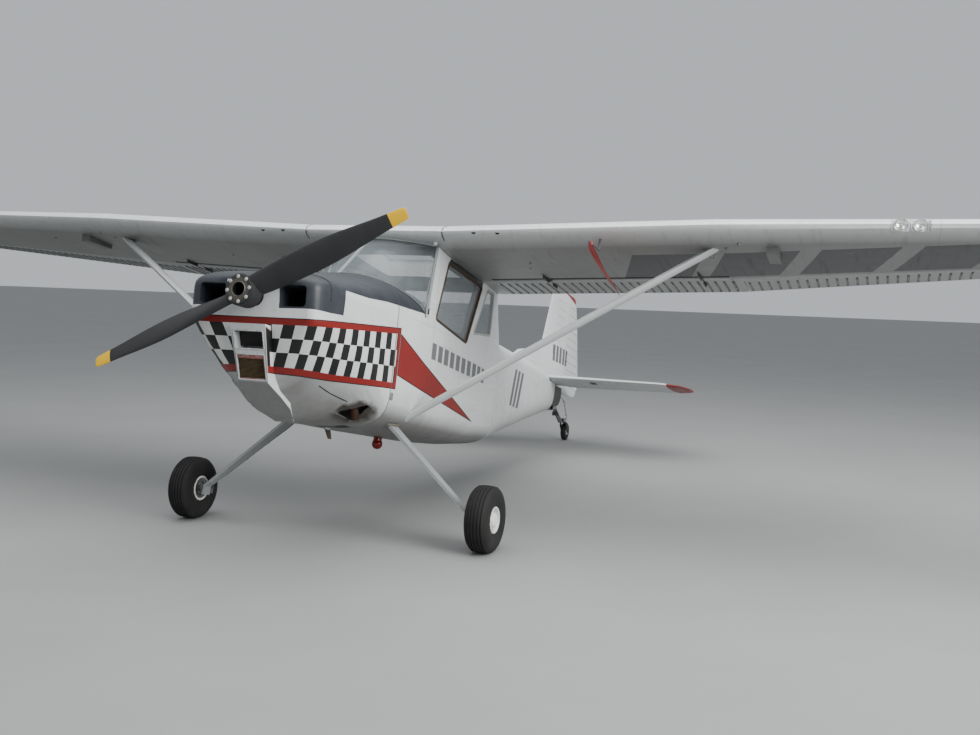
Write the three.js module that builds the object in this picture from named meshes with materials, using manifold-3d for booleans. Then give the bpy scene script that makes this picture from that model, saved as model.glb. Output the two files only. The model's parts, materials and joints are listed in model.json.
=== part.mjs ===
// Two-seat high-wing observation aircraft, parked on its main wheels and tailwheel. Millimetres.
// Airframe frame: x to port, y aft of the propeller, z above the thrust line. The group is then
// pitched nose up, so that in the part's own frame the ground is z = 0 and the nose points to -Y.
import * as THREE from "three";
import { mergeVertices } from "three/addons/utils/BufferGeometryUtils.js";
import Module from "manifold-3d";

const wasm = await Module();
wasm.setup();

// Stance
const DEG = Math.PI / 180;
const PITCH = 10.5 * DEG;
const HUB_HEIGHT = 1730;
const GAP = 0.3; // between pieces that touch
const CLEAR = 6; // between pieces that move

// Body
const BOWL_FRONT = 74;
const COWL_FRONT = 330;
const FIREWALL = 1150;
const CABIN_REAR = 3400;
const TUB_TOP = -420;
const FLOOR = -635;
const WALL = 25;
const SKIN = 12;
const DECK_END = 1690;

// Wing: NACA-like section with 2 % camber
const WING_ROOT = 560;
const WING_KNEE = 2540;
const DIHEDRAL = Math.tan(2.1 * DEG);
const CAMBER = 0.02;
const CAMBER_AT = 0.4;
const FLAP = { from: 575, to: 2530, hinge: 0.72, rise: 0.0143, nose: 0.033 };
const AILERON = { from: 2600, to: 5060, hinge: 0.78, rise: 0.012, nose: 0.0262 };

// Tail
const TAIL_PLANE = 207; // height of the stabiliser's middle
const STAB_SEAT = 165;
const STAB_FRONT = 5900;
const ELEVATOR_AXIS = 6560;
const ELEVATOR_INNER = 125;
const TUBE = 16;
const RUDDER_AXIS = 6830;
const RUDDER_NOSE = 36;
const RUDDER_FOOT = 118;

// Undercarriage
const TRACK_HALF = 1176;
const AXLE_STATION = 1419;
const AXLE_FACE = 1071.3;
const AXLE_RADIUS = 20;
const TYRE = { radius: 231, half: 84, rim: 82 };
const TAIL_TYRE = { radius: 105, half: 30, rim: 50 };
const PIVOT = { y: 6990, trail: 62, top: 236 }; // in the ground frame

// Propeller
const BLADE_TIP = 1143;
const BLADE_TURN = 25.8 * DEG;
const BLADE_LEAD = 8; // the blades' middle lies that far ahead of the thrust line's origin

// Under the wing
const HARD_POINT = { x: 2900, y: 2040, face: 720 };
const STRUT = { top: [2538, 1942, 781], foot: [411, 1596, -623], chord: 62, thick: 26 };
const FLAP_ARMS = [1070, 2296]; // stations along the wing

const paint = (hex, roughness = 0.5, metalness = 0) =>
  new THREE.MeshStandardMaterial({ color: hex, roughness, metalness });
const WHITE = paint(0xc9cccb);
const CHARCOAL = paint(0x33363a, 0.6);
const BLACK = paint(0x1b1c1d, 0.7);
const RUBBER = paint(0x1c1c1c, 0.9);
const STEEL = paint(0x8d9093, 0.35, 0.9);
const GLASS = new THREE.MeshStandardMaterial({
  color: 0xbfcdd0, roughness: 0.08, transparent: true, opacity: 0.35,
});
const RED = paint(0xb5261e, 0.45);
const CANVAS = paint(0x5a5f4a, 0.9);

// A closed geometry as a solid, its triangles facing out
function solid(geometry) {
  const flat = geometry.index ? geometry.toNonIndexed() : geometry;
  const bare = new THREE.BufferGeometry().setAttribute("position", flat.getAttribute("position"));
  const merged = mergeVertices(bare, 1e-3);
  const p = merged.attributes.position.array;
  const kept = [];
  let volume = 0;
  for (let i = 0; i < merged.index.count; i += 3) {
    const [a, b, c] = [0, 1, 2].map((k) => merged.index.getX(i + k));
    if (a === b || b === c || a === c) continue;
    kept.push(a, b, c);
    const [A, B, C] = [a, b, c].map((k) => new THREE.Vector3().fromArray(p, 3 * k));
    volume += A.dot(B.cross(C));
  }
  if (volume < 0) for (let i = 0; i < kept.length; i += 3) [kept[i], kept[i + 1]] = [kept[i + 1], kept[i]];
  return new wasm.Manifold(
    new wasm.Mesh({ numProp: 3, vertProperties: p, triVerts: new Uint32Array(kept) }),
  );
}

const join = (...solids) => solids.reduce((a, b) => a.add(b));
const largest = (body) => body.decompose().sort((a, b) => b.volume() - a.volume())[0];
const cut = (body, ...tools) => tools.reduce((a, b) => a.subtract(b), body);

// Rings of equal count joined in order, each end closed by a fan round its middle
function loft(rings) {
  const points = [];
  const n = rings[0].length;
  const quad = (a, b, c, d) => points.push(a, b, c, a, c, d);
  rings.slice(1).forEach((ring, r) => {
    for (let i = 0; i < n; i++) {
      const j = (i + 1) % n;
      quad(rings[r][i], rings[r][j], ring[j], ring[i]);
    }
  });
  const cap = (ring, flip) => {
    const mid = [0, 1, 2].map((k) => ring.reduce((t, q) => t + q[k], 0) / n);
    for (let i = 0; i < n; i++) {
      const [a, b] = flip ? [ring[(i + 1) % n], ring[i]] : [ring[i], ring[(i + 1) % n]];
      points.push(mid, b, a);
    }
  };
  cap(rings[0], false);
  cap(rings[rings.length - 1], true);
  return solid(
    new THREE.BufferGeometry().setAttribute("position", new THREE.Float32BufferAttribute(points.flat(), 3)),
  );
}

const box = (x0, x1, y0, y1, z0, z1) =>
  solid(
    new THREE.BoxGeometry(x1 - x0, y1 - y0, z1 - z0).translate((x0 + x1) / 2, (y0 + y1) / 2, (z0 + z1) / 2),
  );

// A round bar between two points
function rod(from, to, r0, r1 = r0, sides = 20) {
  const [a, b] = [from, to].map((q) => new THREE.Vector3(...q));
  const along = b.clone().sub(a);
  const g = new THREE.CylinderGeometry(r1, r0, along.length(), sides);
  g.applyQuaternion(new THREE.Quaternion().setFromUnitVectors(new THREE.Vector3(0, 1, 0), along.normalize()));
  return solid(g.translate((from[0] + to[0]) / 2, (from[1] + to[1]) / 2, (from[2] + to[2]) / 2));
}

function extrude(outline, depth) {
  const shape = new THREE.Shape(outline.map(([a, b]) => new THREE.Vector2(a, b)));
  return new THREE.ExtrudeGeometry(shape, { depth, bevelEnabled: false });
}

// An outline in the side view (y, z), from one x to another
function slab(outline, x0, x1) {
  const turn = new THREE.Matrix4().set(0, 0, 1, x0, 1, 0, 0, 0, 0, 1, 0, 0, 0, 0, 0, 1);
  return solid(extrude(outline, x1 - x0).applyMatrix4(turn));
}

// A bar with rounded corners along y
function roundedBar(x0, x1, z0, z1, r, y0, y1) {
  const outline = [];
  [[x1 - r, z1 - r], [x0 + r, z1 - r], [x0 + r, z0 + r], [x1 - r, z0 + r]].forEach(([x, z], corner) => {
    for (let i = 0; i <= 4; i++) {
      const a = (corner + i / 4) * 90 * DEG;
      outline.push([x + r * Math.cos(a), z + r * Math.sin(a)]);
    }
  });
  return solid(extrude(outline, y1 - y0).rotateX(90 * DEG).translate(0, y1, 0));
}

// A turned piece about a line along x through (y, z)
function turned(profile, y, z, sides = 32) {
  const g = new THREE.LatheGeometry(profile.map(([x, r]) => new THREE.Vector2(r, x)), sides);
  return solid(g.rotateZ(-Math.PI / 2).translate(0, y, z));
}

// A thin curved sheet from a grid of points, thickened to one side
function sheet(grid, thickness) {
  const rows = grid.length;
  const cols = grid[0].length;
  const clamp = (i, count) => Math.min(Math.max(i, 0), count - 1);
  const at = (r, c) => new THREE.Vector3(...grid[clamp(r, rows)][clamp(c, cols)]);
  const inner = grid.map((row, r) =>
    row.map((q, c) => {
      const n = at(r + 1, c).sub(at(r - 1, c)).cross(at(r, c + 1).sub(at(r, c - 1))).normalize();
      return n.multiplyScalar(thickness).add(new THREE.Vector3(...q)).toArray();
    }),
  );
  return loft(grid.map((row, r) => [...row, ...inner[r].slice().reverse()]));
}

// Body sections: flat sides between shoulder and waist, rounded above and below by superellipses
const COWL = [
  // y, half width, top, shoulder, waist, bottom, roundness above, below
  [330, 490, 180, 36, -130, -612, 3.2, 1.6],
  [450, 493, 207, 43, -140, -672, 3.0, 1.7],
  [574, 495, 238, 50, -155, -735, 2.8, 1.85],
  [700, 497, 266, 60, -170, -748, 2.6, 2.0],
  [1150, 495, 362, 105, -420, -738, 2.3, 3.0],
];
const TUB = [
  [1150, 495, 362, 105, -420, -738, 2.3, 3.0],
  [1690, 482, 374, 100, -420, -745, 2.3, 3.2],
  [2780, 478, 374, 100, -420, -745, 2.3, 3.4],
  [3400, 438, 290, 110, -420, -702, 2.6, 3.2],
];
const TAIL_CONE = [
  [3400, 438, 290, 110, -400, -702, 2.6, 3.2],
  [4300, 330, 292, 130, -220, -536, 2.5, 2.8],
  [5200, 235, 282, 150, -60, -362, 2.4, 2.5],
  [6110, 130, 248, 170, 60, -180, 2.2, 2.3],
  [6290, 108, 236, 172, 75, -144, 2.2, 2.3],
  [6450, 62, 226, 173, 88, -113, 2.1, 2.2],
  [6788, 44, 205, 175, 110, -46, 2.0, 2.0],
];

const between = (rows, key) => {
  const i = Math.max(1, rows.findIndex((r) => r[0] >= key));
  const [a, b] = [rows[i - 1], rows[i]];
  const t = (key - a[0]) / (b[0] - a[0]);
  return a.map((v, k) => v + t * (b[k] - v));
};

const STEPS = 8;
const curve = (t, e) => Math.sign(t) * Math.abs(t) ** (2 / e);

function bodyRing([y, half, top, shoulder, waist, bottom, eTop, eBottom], inset = 0, front = () => 0) {
  const ring = [];
  const put = (x, z) => ring.push([x, y + front(z), z]);
  for (let i = 0; i <= 2 * STEPS; i++) {
    const a = (i / STEPS - 1) * 90 * DEG;
    const rise = (top - inset - shoulder) * curve(Math.cos(a), eTop);
    put((half - inset) * curve(Math.sin(a), eTop), shoulder + rise);
  }
  for (let i = 0; i <= 2 * STEPS; i++) {
    const a = (1 - i / STEPS) * 90 * DEG;
    const drop = (waist - bottom - inset) * curve(Math.cos(a), eBottom);
    put((half - inset) * curve(Math.sin(a), eBottom), waist - drop);
  }
  return ring;
}

function bodyLoft(rows, from, to, inset = 0) {
  const inside = rows.filter((r) => r[0] > from + 1 && r[0] < to - 1);
  return loft([between(rows, from), ...inside, between(rows, to)].map((r) => bodyRing(r, inset)));
}

// Wing sections
const WING = [
  // x, leading edge y, chord, incidence, thickness over chord
  [0, 1583, 1626, 5.4, 0.12],
  [560, 1583, 1626, 5.4, 0.12],
  [2540, 1583, 1626, 5.0, 0.12],
  [5380, 1837, 1110, 2.4, 0.115],
  [5450, 1890, 1000, 2.4, 0.1],
  [5486, 1990, 760, 2.4, 0.05],
];
const FOIL = [1, 0.85, 0.7, 0.55, 0.4, 0.25, 0.12, 0.05, 0.012, 0];

function wingPoint(x, u, v) {
  const [, y, chord, incidence] = between(WING, Math.abs(x));
  const [c, s] = [Math.cos(incidence * DEG), Math.sin(incidence * DEG)];
  const z = 777 + DIHEDRAL * Math.max(0, Math.abs(x) - WING_ROOT);
  return [x, y + chord * (u * c + v * s), z - chord * (u * s - v * c)];
}

const camber = (u) =>
  u < CAMBER_AT
    ? (CAMBER / CAMBER_AT ** 2) * (2 * CAMBER_AT * u - u * u)
    : (CAMBER / (1 - CAMBER_AT) ** 2) * (1 - 2 * CAMBER_AT + 2 * CAMBER_AT * u - u * u);
const fullness = (u) =>
  5 * (0.2969 * Math.sqrt(u) - 0.126 * u - 0.3516 * u ** 2 + 0.2843 * u ** 3 - 0.1015 * u ** 4) +
  0.012 * u ** 8;

function wingRing(x, grow = 0) {
  const thick = between(WING, Math.abs(x))[4];
  const chord = between(WING, Math.abs(x))[2];
  const skin = (u, side) => wingPoint(x, u, camber(u) + side * (fullness(u) * thick + grow / chord));
  return [...FOIL.map((u) => skin(u, 1)), ...FOIL.slice(0, -1).reverse().map((u) => skin(u, -1))];
}

const wingLoft = (xs, grow = 0) => loft(xs.map((x) => wingRing(x, grow)));
const wingPrism = (x0, x1, outline) => loft([x0, x1].map((x) => outline.map(([u, v]) => wingPoint(x, u, v))));
const underside = (x, y) => {
  const u = (y - 1583) / 1626;
  return wingPoint(x, u, camber(u) - fullness(u) * 0.12)[2];
};

// Cowl and engine

// The nose leans back below the propeller
const chinLean = (z) => 0.43 * Math.max(0, -105 - z);

function noseBowl() {
  const face = between(COWL, COWL_FRONT - 0.01);
  const rows = [
    // y, inset, rise of the bottom
    [BOWL_FRONT, 100, 24],
    [80, 74, 20],
    [95, 52, 16],
    [122, 34, 12],
    [165, 20, 8],
    [215, 10, 4],
    [270, 3, 1],
    [COWL_FRONT - GAP, 0, 0],
  ];
  const shell = loft(
    rows.map(([y, inset, rise]) => {
      const row = [y, ...face.slice(1)];
      const back = (y - BOWL_FRONT) / (COWL_FRONT - GAP - BOWL_FRONT);
      row[5] += rise;
      row[7] = 1.35 + 0.25 * back;
      return bodyRing(row, inset, (z) => chinLean(z) * (1 - back));
    }),
  );
  const inlets = [-1, 1].map((side) => {
    const [x0, x1] = [190, 379].map((x) => x * side).sort((a, b) => a - b);
    return roundedBar(x0, x1, -68, 62, 24, 40, COWL_FRONT + 40);
  });
  const shaft = rod([0, 40, 0], [0, COWL_FRONT + 40, 0], 75);
  const scoop = intakeBox().intersect(box(-200, 200, 0, COWL_FRONT - GAP, -900, 0));
  const mouths = [roundedBar(-104, 104, -337, -228, 14, 0, 262), box(-100, 100, 0, 290, -520, -368)];
  return cut(join(shell, scoop), ...inlets, shaft, ...mouths);
}

// The scoop under the spinner: a leaning box whose flat underside fades into the belly
const intakeBox = () =>
  loft([
    [[-127, 62, -187], [127, 62, -187], [107, 205, -533], [-107, 205, -533]],
    [[-122, 330, -187], [122, 330, -187], [132, 330, -604], [-132, 330, -604]],
    [[-110, 456, -400], [110, 456, -400], [140, 456, -672], [-140, 456, -672]],
    [[-60, 640, -500], [60, 640, -500], [70, 640, -748], [-70, 640, -748]],
  ]);

function cowling() {
  const outer = join(
    bodyLoft(COWL, COWL_FRONT, FIREWALL - GAP),
    intakeBox().intersect(box(-200, 200, COWL_FRONT, 900, -900, 0)),
  );
  const shell = outer.subtract(bodyLoft(COWL, COWL_FRONT - 1, FIREWALL, SKIN));
  const split = 52;
  const outlet = [[772, -800], [1004, -800], [1004, -560], [800, -640]];
  const exit = join(
    box(-230, 230, 1040, 1200, -900, -560),
    ...[-1, 1].map((side) => sideSlab(outlet, side, 288, 428)),
  );
  return {
    upper: shell.intersect(box(-600, 600, 0, 1200, split, 600)),
    lower: shell.intersect(box(-600, 600, 0, 1200, -900, split - GAP)).subtract(exit),
  };
}

// One plain block on the tubes that hold it to the firewall
function engineBlock() {
  const tubes = [[-1, 40], [1, 40], [-1, -190], [1, -190]].map(([side, z]) =>
    rod([side * 190, 1040, z], [side * 300, FIREWALL + 20, z + 20 * Math.sign(z)], 14, 14, 12),
  );
  const block = join(box(-395, 395, 400, 1060, -215, 110), box(-210, 210, 420, 1000, -420, -215), ...tubes);
  return cut(block, box(-600, 600, FIREWALL - GAP, 1300, -600, 600));
}

const intakeFilter = () =>
  slab([[150, -368 - GAP], [159, -368 - GAP], [228, -520 + GAP], [219, -520 + GAP]], -99.7, 99.7);

// Risers from the engine, a cross pipe and an outlet low on each side
function exhaustStacks() {
  const half = (side) => [
    rod([side * 330, 872, -215 - GAP], [side * 330, 872, -455], 28),
    rod([side * 330, 872, -455], [side * 345, 962, -676], 30, 31),
  ];
  const hollow = [-1, 1].map((side) => rod([side * 342, 944, -632], [side * 347, 974, -706], 25));
  return cut(join(...half(1), ...half(-1), rod([-330, 872, -455], [330, 872, -455], 28)), ...hollow);
}

// Cabin

const sideStations = (offset) => TUB.map(([y, half]) => [half - offset, y]);

// One upright side wall from the tub to the roof, with its windscreen slope and its windows
function sideWall(side) {
  const strip = [...sideStations(0), ...sideStations(WALL).reverse()].map(([x, y]) => [x * side, y]);
  const wall = solid(extrude(strip, 1400).translate(0, 0, TUB_TOP + GAP));
  const profile = slab(
    [[FIREWALL + 10 + GAP, -500], [CABIN_REAR - GAP, -500], [CABIN_REAR - GAP, 190], [3190, 628], [1773, 765],
      [DECK_END + GAP, 98], [FIREWALL + 10 + GAP, 98]],
    ...(side > 0 ? [0, 600] : [-600, 0]),
  );
  return cut(wall.intersect(profile), roofWing(2 * GAP));
}

const WINDOW_FRONT = [[1845, 170], [2500, 90], [2735, 585], [1995, 628]];
const WINDOW_REAR = [[2655, 190], [3080, 240], [3085, 590], [2900, 582]];
const DOOR = [[1800, -392], [2545, -392], [2535, 60], [2690, 585], [1972, 628], [1812, 130]];
const DOOR_WINDOW = [[1858, 150], [2490, 84], [2640, 540], [2010, 580]];
const DOOR_HINGE = { x: -486, y: 1800, knuckle: 7, heights: [-330, 60] };

// An outline moved inwards, or outwards when negative
function offset(outline, d) {
  return outline.map((q, i) => {
    const n = outline.length;
    const [a, b] = [outline[(i + n - 1) % n], outline[(i + 1) % n]];
    const e1 = new THREE.Vector2(q[0] - a[0], q[1] - a[1]).normalize();
    const e2 = new THREE.Vector2(b[0] - q[0], b[1] - q[1]).normalize();
    const k = d / (1 + e1.dot(e2));
    return [q[0] + k * (-e1.y - e2.y), q[1] + k * (e1.x + e2.x)];
  });
}

const sideSlab = (outline, side, x0 = 300, x1 = 600) => slab(outline, ...(side > 0 ? [x0, x1] : [-x1, -x0]));

// Each hinge is a knuckle and leaf on the door, standing on one of the wall
function doorHinges() {
  const { x, y, knuckle, heights } = DOOR_HINGE;
  const barrel = (z0, z1, r = knuckle) => rod([x, y, z0], [x, y, z1], r, r, 16);
  const flap = (y0, y1, z0, z1) => box(x - 3, x + 9, y0, y1, z0, z1);
  return {
    door: heights.flatMap((z) => [barrel(z, z + 50), flap(y, y + 34, z + 4, z + 46)]),
    wall: heights.flatMap((z) => [barrel(z - 50, z - GAP), flap(y - 40, y, z - 46, z - 4)]),
    room: heights.map((z) => barrel(z - 52, z + 52, knuckle + 4)),
  };
}

function sides() {
  const rear = (side) => sideSlab(WINDOW_REAR, side);
  const hinge = doorHinges();
  const port = cut(sideWall(1), sideSlab(WINDOW_FRONT, 1), rear(1));
  const starboard = cut(sideWall(-1), sideSlab(offset(DOOR, -CLEAR), -1), rear(-1), ...hinge.room);
  const door = cut(sideWall(-1).intersect(sideSlab(DOOR, -1)), sideSlab(DOOR_WINDOW, -1), ...hinge.room);
  return { port, starboard: join(starboard, ...hinge.wall), door: join(door, ...hinge.door) };
}

const pane = (outline, side, x) => sideSlab(offset(outline, GAP), side, x - 14, x - 9);

function tub() {
  const shell = bodyLoft(TUB, FIREWALL + 10 + GAP, CABIN_REAR - GAP).subtract(
    bodyLoft(TUB, FIREWALL, CABIN_REAR, WALL),
  );
  return join(shell.intersect(box(-600, 600, 1000, 3600, -900, TUB_TOP)), drainMast());
}

function deck() {
  const shell = bodyLoft(TUB, FIREWALL + 10 + GAP, DECK_END).subtract(
    bodyLoft(TUB, FIREWALL, DECK_END + 10, SKIN),
  );
  return shell.intersect(box(-600, 600, 1000, 1800, 98 + GAP, 600));
}

const firewall = () => loft([between(TUB, 1150), between(TUB, 1160)].map((r) => bodyRing(r)));

const instrumentPanel = () =>
  join(box(-500, 500, 1600, 1615, 60, 400), box(-250, 250, 1600, 1630, -120, 200)).intersect(
    bodyLoft(TUB, 1500, 1680, WALL + GAP),
  );

const floorBoard = () =>
  box(-600, 600, 1180, 3380, -650, FLOOR).intersect(bodyLoft(TUB, 1170, 3390, WALL + GAP));

const roofWing = (grow = 0) => wingLoft([-WING_ROOT + GAP, 0, WING_ROOT - GAP], grow);

function roof() {
  const centre = roofWing();
  return cut(centre, box(-330, 330, 1960, 2620, 500, 1000));
}

const skylight = () => {
  const skin = wingLoft([-328, 0, 328]).subtract(
    wingPrism(-340, 340, [[0, -0.3], [1, -0.3], [1, 0], [0.4, 0.0712], [0.23, 0.0712], [0, 0]]),
  );
  return skin.intersect(box(-329.7, 329.7, 1960.3, 2619.7, 500, 1000));
};

// Base on the deck, top under the wing's front edge
function windscreen() {
  const across = 12;
  const edge = [];
  const head = [];
  for (let i = 0; i <= across; i++) {
    const a = ((2 * i) / across - 1) * 84 * DEG;
    const y = 1178 + 495 * Math.abs(Math.sin(a)) ** 3;
    const [, half, top, shoulder, , , e] = between(TUB, y);
    const rise = (top + 2 - shoulder) * curve(Math.cos(a), e);
    edge.push([(half - 8) * curve(Math.sin(a), e), y, shoulder + rise]);
    const x = ((2 * i) / across - 1) * 474;
    const yTop = 1645 + 104 * (x / 474) ** 2;
    head.push([x, yTop, underside(x, yTop) - 4]);
  }
  const rows = [0, 0.5, 1].map((t) => edge.map((q, i) => q.map((v, k) => v + t * (head[i][k] - v))));
  return cut(sheet(rows, 9), bodyLoft(TUB, FIREWALL, 1750, -GAP), roofWing(GAP));
}

function rearWindow() {
  const across = 8;
  const ring = between(TAIL_CONE, CABIN_REAR + 0.01);
  const rows = [0, 1].map((t) => {
    const row = [];
    for (let i = 0; i <= across; i++) {
      const a = ((2 * i) / across - 1) * 68 * DEG;
      const x = (ring[1] - 30) * curve(Math.sin(a), ring[6]);
      const z = ring[3] + (ring[2] - 8 - ring[3]) * curve(Math.cos(a), ring[6]);
      row.push(t === 0 ? [x, CABIN_REAR - 8, z] : [x, 3180, underside(0, 3180) - 4]);
    }
    return row;
  });
  return cut(sheet(rows, 9), roofWing(GAP));
}

function seat(y, width) {
  return join(
    box(-width, width, y, y + 400, -330, -300),
    slab([[y + 400, -330], [y + 430, -330], [y + 540, 250], [y + 515, 255]], -width, width),
    box(-width, -width + 24, y + 20, y + 60, FLOOR + GAP, -320),
    box(width - 24, width, y + 20, y + 60, FLOOR + GAP, -320),
    box(-width, -width + 24, y + 370, y + 410, FLOOR + GAP, -320),
    box(width - 24, width, y + 370, y + 410, FLOOR + GAP, -320),
  );
}

const cushions = (y, width) =>
  join(
    box(-width + 10, width - 10, y + 4, y + 385, -300 + GAP, -225),
    slab([[y + 330, -240], [y + 398, -299], [y + 505, 235], [y + 450, 225]], -width + 10, width - 10),
  );

// Tail

function tailCone(grow = 0) {
  const solidCone = bodyLoft(TAIL_CONE, CABIN_REAR, 6788, -grow);
  return cut(
    solidCone,
    box(-400, 400, STAB_FRONT + grow, 7000, STAB_SEAT + grow, 600),
    rod([0, RUDDER_AXIS, -400], [0, RUDDER_AXIS, 600], RUDDER_NOSE + CLEAR - grow),
  );
}

const rudderBracket = () => box(-14, 14, 6740, RUDDER_AXIS + 14, 88, RUDDER_FOOT - 14);

const TAIL_PLAN = [
  // x, leading edge y, trailing edge y, half thickness at the hinge
  [0, 5925, 7010, 40],
  [1340, 6000, 6880, 27],
  [1540, 6090, 6800, 18],
  [1627, 6330, 6660, 7],
];
const TAIL_SHAPE = [
  // share of the way from leading edge to hinge, share of the half thickness
  [0, 0.1], [0.03, 0.38], [0.12, 0.7], [0.35, 1], [0.7, 1.02], [1, 0.9],
];

function stabRing(x, grow = 0) {
  const [, front, , half] = between(TAIL_PLAN, Math.abs(x));
  const end = ELEVATOR_AXIS - (half * 0.86 + CLEAR) * 0.8;
  const run = end - front + 2 * grow;
  const at = ([t, k], side) => [x, front - grow + t * run, TAIL_PLANE + side * (half * k + grow)];
  return [...TAIL_SHAPE.map((q) => at(q, 1)), ...TAIL_SHAPE.slice().reverse().map((q) => at(q, -1))];
}

function stabiliser(grow = 0) {
  const xs = [-1626, -1540, -1340, 0, 1340, 1540, 1626];
  const cove = [-1, 1].flatMap((side) => elevatorNose(side, [0, 1340, 1540, 1626], CLEAR));
  return cut(loft(xs.map((x) => stabRing(x, grow))), ...(grow ? [] : cove));
}

// The round front of one elevator, along its axis
const onElevatorAxis = (x) => [x, ELEVATOR_AXIS, TAIL_PLANE];
const elevatorNose = (side, xs, grow = 0) =>
  xs.slice(1).map((b, i) => {
    const r = (x) => between(TAIL_PLAN, x)[3] * 0.86 + grow;
    return rod(onElevatorAxis(xs[i] * side), onElevatorAxis(b * side), r(xs[i]), r(b), 16);
  });

function elevators() {
  const half = (side) => {
    const xs = [ELEVATOR_INNER, 1340, 1540, 1626];
    const rings = xs.map((x) => {
      const [, , rear, thick] = between(TAIL_PLAN, x);
      const h = thick * 0.86;
      return [[0, h], [0, -h], [0.5, -h * 0.52], [1, -3], [1, 3], [0.5, h * 0.52]].map(([t, z]) => [
        x * side, ELEVATOR_AXIS + t * (rear - ELEVATOR_AXIS), TAIL_PLANE + z,
      ]);
    });
    return join(loft(rings), ...elevatorNose(side, xs));
  };
  const tube = rod(onElevatorAxis(-140), onElevatorAxis(140), TUBE, TUBE, 36);
  return join(half(1), half(-1), tube);
}

const FIN = [
  // z, leading edge y, half thickness at the rear, rudder's rear edge
  [165.6, 4650, 42, 7566],
  [403, 5197, 40, 7560],
  [530, 5960, 38, 7515],
  [930, 6125, 32, 7380],
  [1206, 6235, 27, 7250],
  [1290, 6300, 22, 7195],
  [1312, 6420, 10, 7120],
];
const FIN_SHAPE = [[0, 0.06], [0.05, 0.3], [0.2, 0.62], [0.55, 0.95], [1, 0.97]];

function fin() {
  const rings = FIN.map(([z, front, half]) => {
    const at = ([t, k], side) => [side * half * k, front + t * (RUDDER_AXIS - 20 - front), z];
    return [...FIN_SHAPE.map((q) => at(q, 1)), ...FIN_SHAPE.slice().reverse().map((q) => at(q, -1))];
  });
  return cut(
    loft(rings),
    tailCone(GAP + 0.1),
    stabiliser(GAP),
    rod(onElevatorAxis(-200), onElevatorAxis(200), TUBE + 1.2 * GAP, TUBE + 1.2 * GAP, 36),
    rod([0, RUDDER_AXIS, 0], [0, RUDDER_AXIS, 1400], RUDDER_NOSE + CLEAR, 22 + CLEAR),
  );
}

function rudder() {
  const rows = [[RUDDER_FOOT, 0, 24, 7400], [150, 0, 30, 7500], [268, 0, 34, 7560], ...FIN.slice(1)];
  const rings = rows.map(([z, , half, rear]) => {
    const h = Math.min(half, 34) * 0.97;
    return [[0, h], [0, -h], [0.5, -h * 0.5], [1, -3], [1, 3], [0.5, h * 0.5]].map(([t, x]) => [
      x, RUDDER_AXIS + t * (rear - RUDDER_AXIS), z,
    ]);
  });
  const nose = rod([0, RUDDER_AXIS, RUDDER_FOOT], [0, RUDDER_AXIS, 1312], 34, 12);
  const pin = rod([0, RUDDER_AXIS, RUDDER_FOOT - 14 + GAP], [0, RUDDER_AXIS, RUDDER_FOOT + 10], 9);
  return join(loft(rings), nose, pin);
}

// Wings

function wing(side) {
  const xs = [WING_ROOT, WING_KNEE, 5380, 5450, 5486].map((x) => x * side);
  const whole = wingLoft(xs);
  const axis = ({ from, to, hinge, rise }, trim) =>
    [from + trim, to - trim].map((x) => wingPoint(x * side, hinge, rise));
  const radius = ({ nose, from, to }) => [from, to].map((x) => nose * between(WING, x)[2]);
  const surface = (part) => {
    const [a, b] = axis(part, CLEAR);
    const [r0, r1] = radius(part);
    const aft = wingPrism(a[0], b[0], [[part.hinge, -0.2], [1.1, -0.2], [1.1, 0.2], [part.hinge, 0.2]]);
    const [pinA, pinB] = axis(part, 3 * GAP);
    const arms = part === FLAP ? FLAP_ARMS.map((x) => flapArm(side, x, 2785, 2925, 20)) : [];
    return join(whole.intersect(aft), rod(a, b, r0, r1, 16), rod(pinA, pinB, 9), ...arms);
  };
  const opening = (part, lip) => {
    const [a, b] = axis(part, -8);
    const [r0, r1] = radius(part);
    const span = [part.from * side, part.to * side];
    const room = box(Math.min(...span), Math.max(...span), 0, 4000, 0, 2000);
    const groove = rod(a, b, r0 + CLEAR, r1 + CLEAR, 16).intersect(room);
    const { hinge, rise } = part;
    return join(
      wingPrism(...span, [[hinge, -0.2], [1.1, -0.2], [1.1, 0.2], [hinge, 0.2]]),
      wingPrism(...span, [[hinge - lip, -0.2], [hinge, -0.2], [hinge, rise], [hinge - lip, rise]]),
      groove,
    );
  };
  return {
    wing: largest(
      join(
        cut(whole, opening(FLAP, 0.027), opening(AILERON, 0.012)),
        hardPoint(side),
        ...FLAP_ARMS.map((x) => flapArm(side, x, 2500, 2684, 24)),
      ),
    ),
    flap: surface(FLAP),
    aileron: surface(AILERON),
  };
}

const mix = (a, b, t) => a.map((v, k) => v + t * (b[k] - v));

function strut(side) {
  const { top, foot, chord, thick } = STRUT;
  const shape = [
    [-1, 0], [-0.7, 0.75], [-0.2, 1], [0.4, 0.7], [1, 0.08], [1, -0.08], [0.4, -0.7], [-0.2, -1], [-0.7, -0.75],
  ];
  const across = new THREE.Vector3(-(top[2] - foot[2]), 0, top[0] - foot[0]).normalize();
  const ends = [[0, 1], [0.05, 1], [0.95, 1], [1, 0.9]];
  const bar = loft(
    ends.map(([t, k]) => {
      const [x, y, z] = mix(foot, top, t);
      return shape.map(([u, v]) => {
        const out = v * thick * k;
        return [side * (x + across.x * out), y + u * chord * k, z + across.z * out];
      });
    }),
  );
  const skins = [
    bodyLoft(TUB, FIREWALL, 2400, -GAP),
    wingLoft([WING_ROOT, WING_KNEE, 5380].map((x) => x * side), GAP),
  ];
  return largest(cut(bar, ...skins));
}

// Undercarriage

const axleZ = (TYRE.radius - HUB_HEIGHT + AXLE_STATION * Math.sin(PITCH)) / Math.cos(PITCH);

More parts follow.
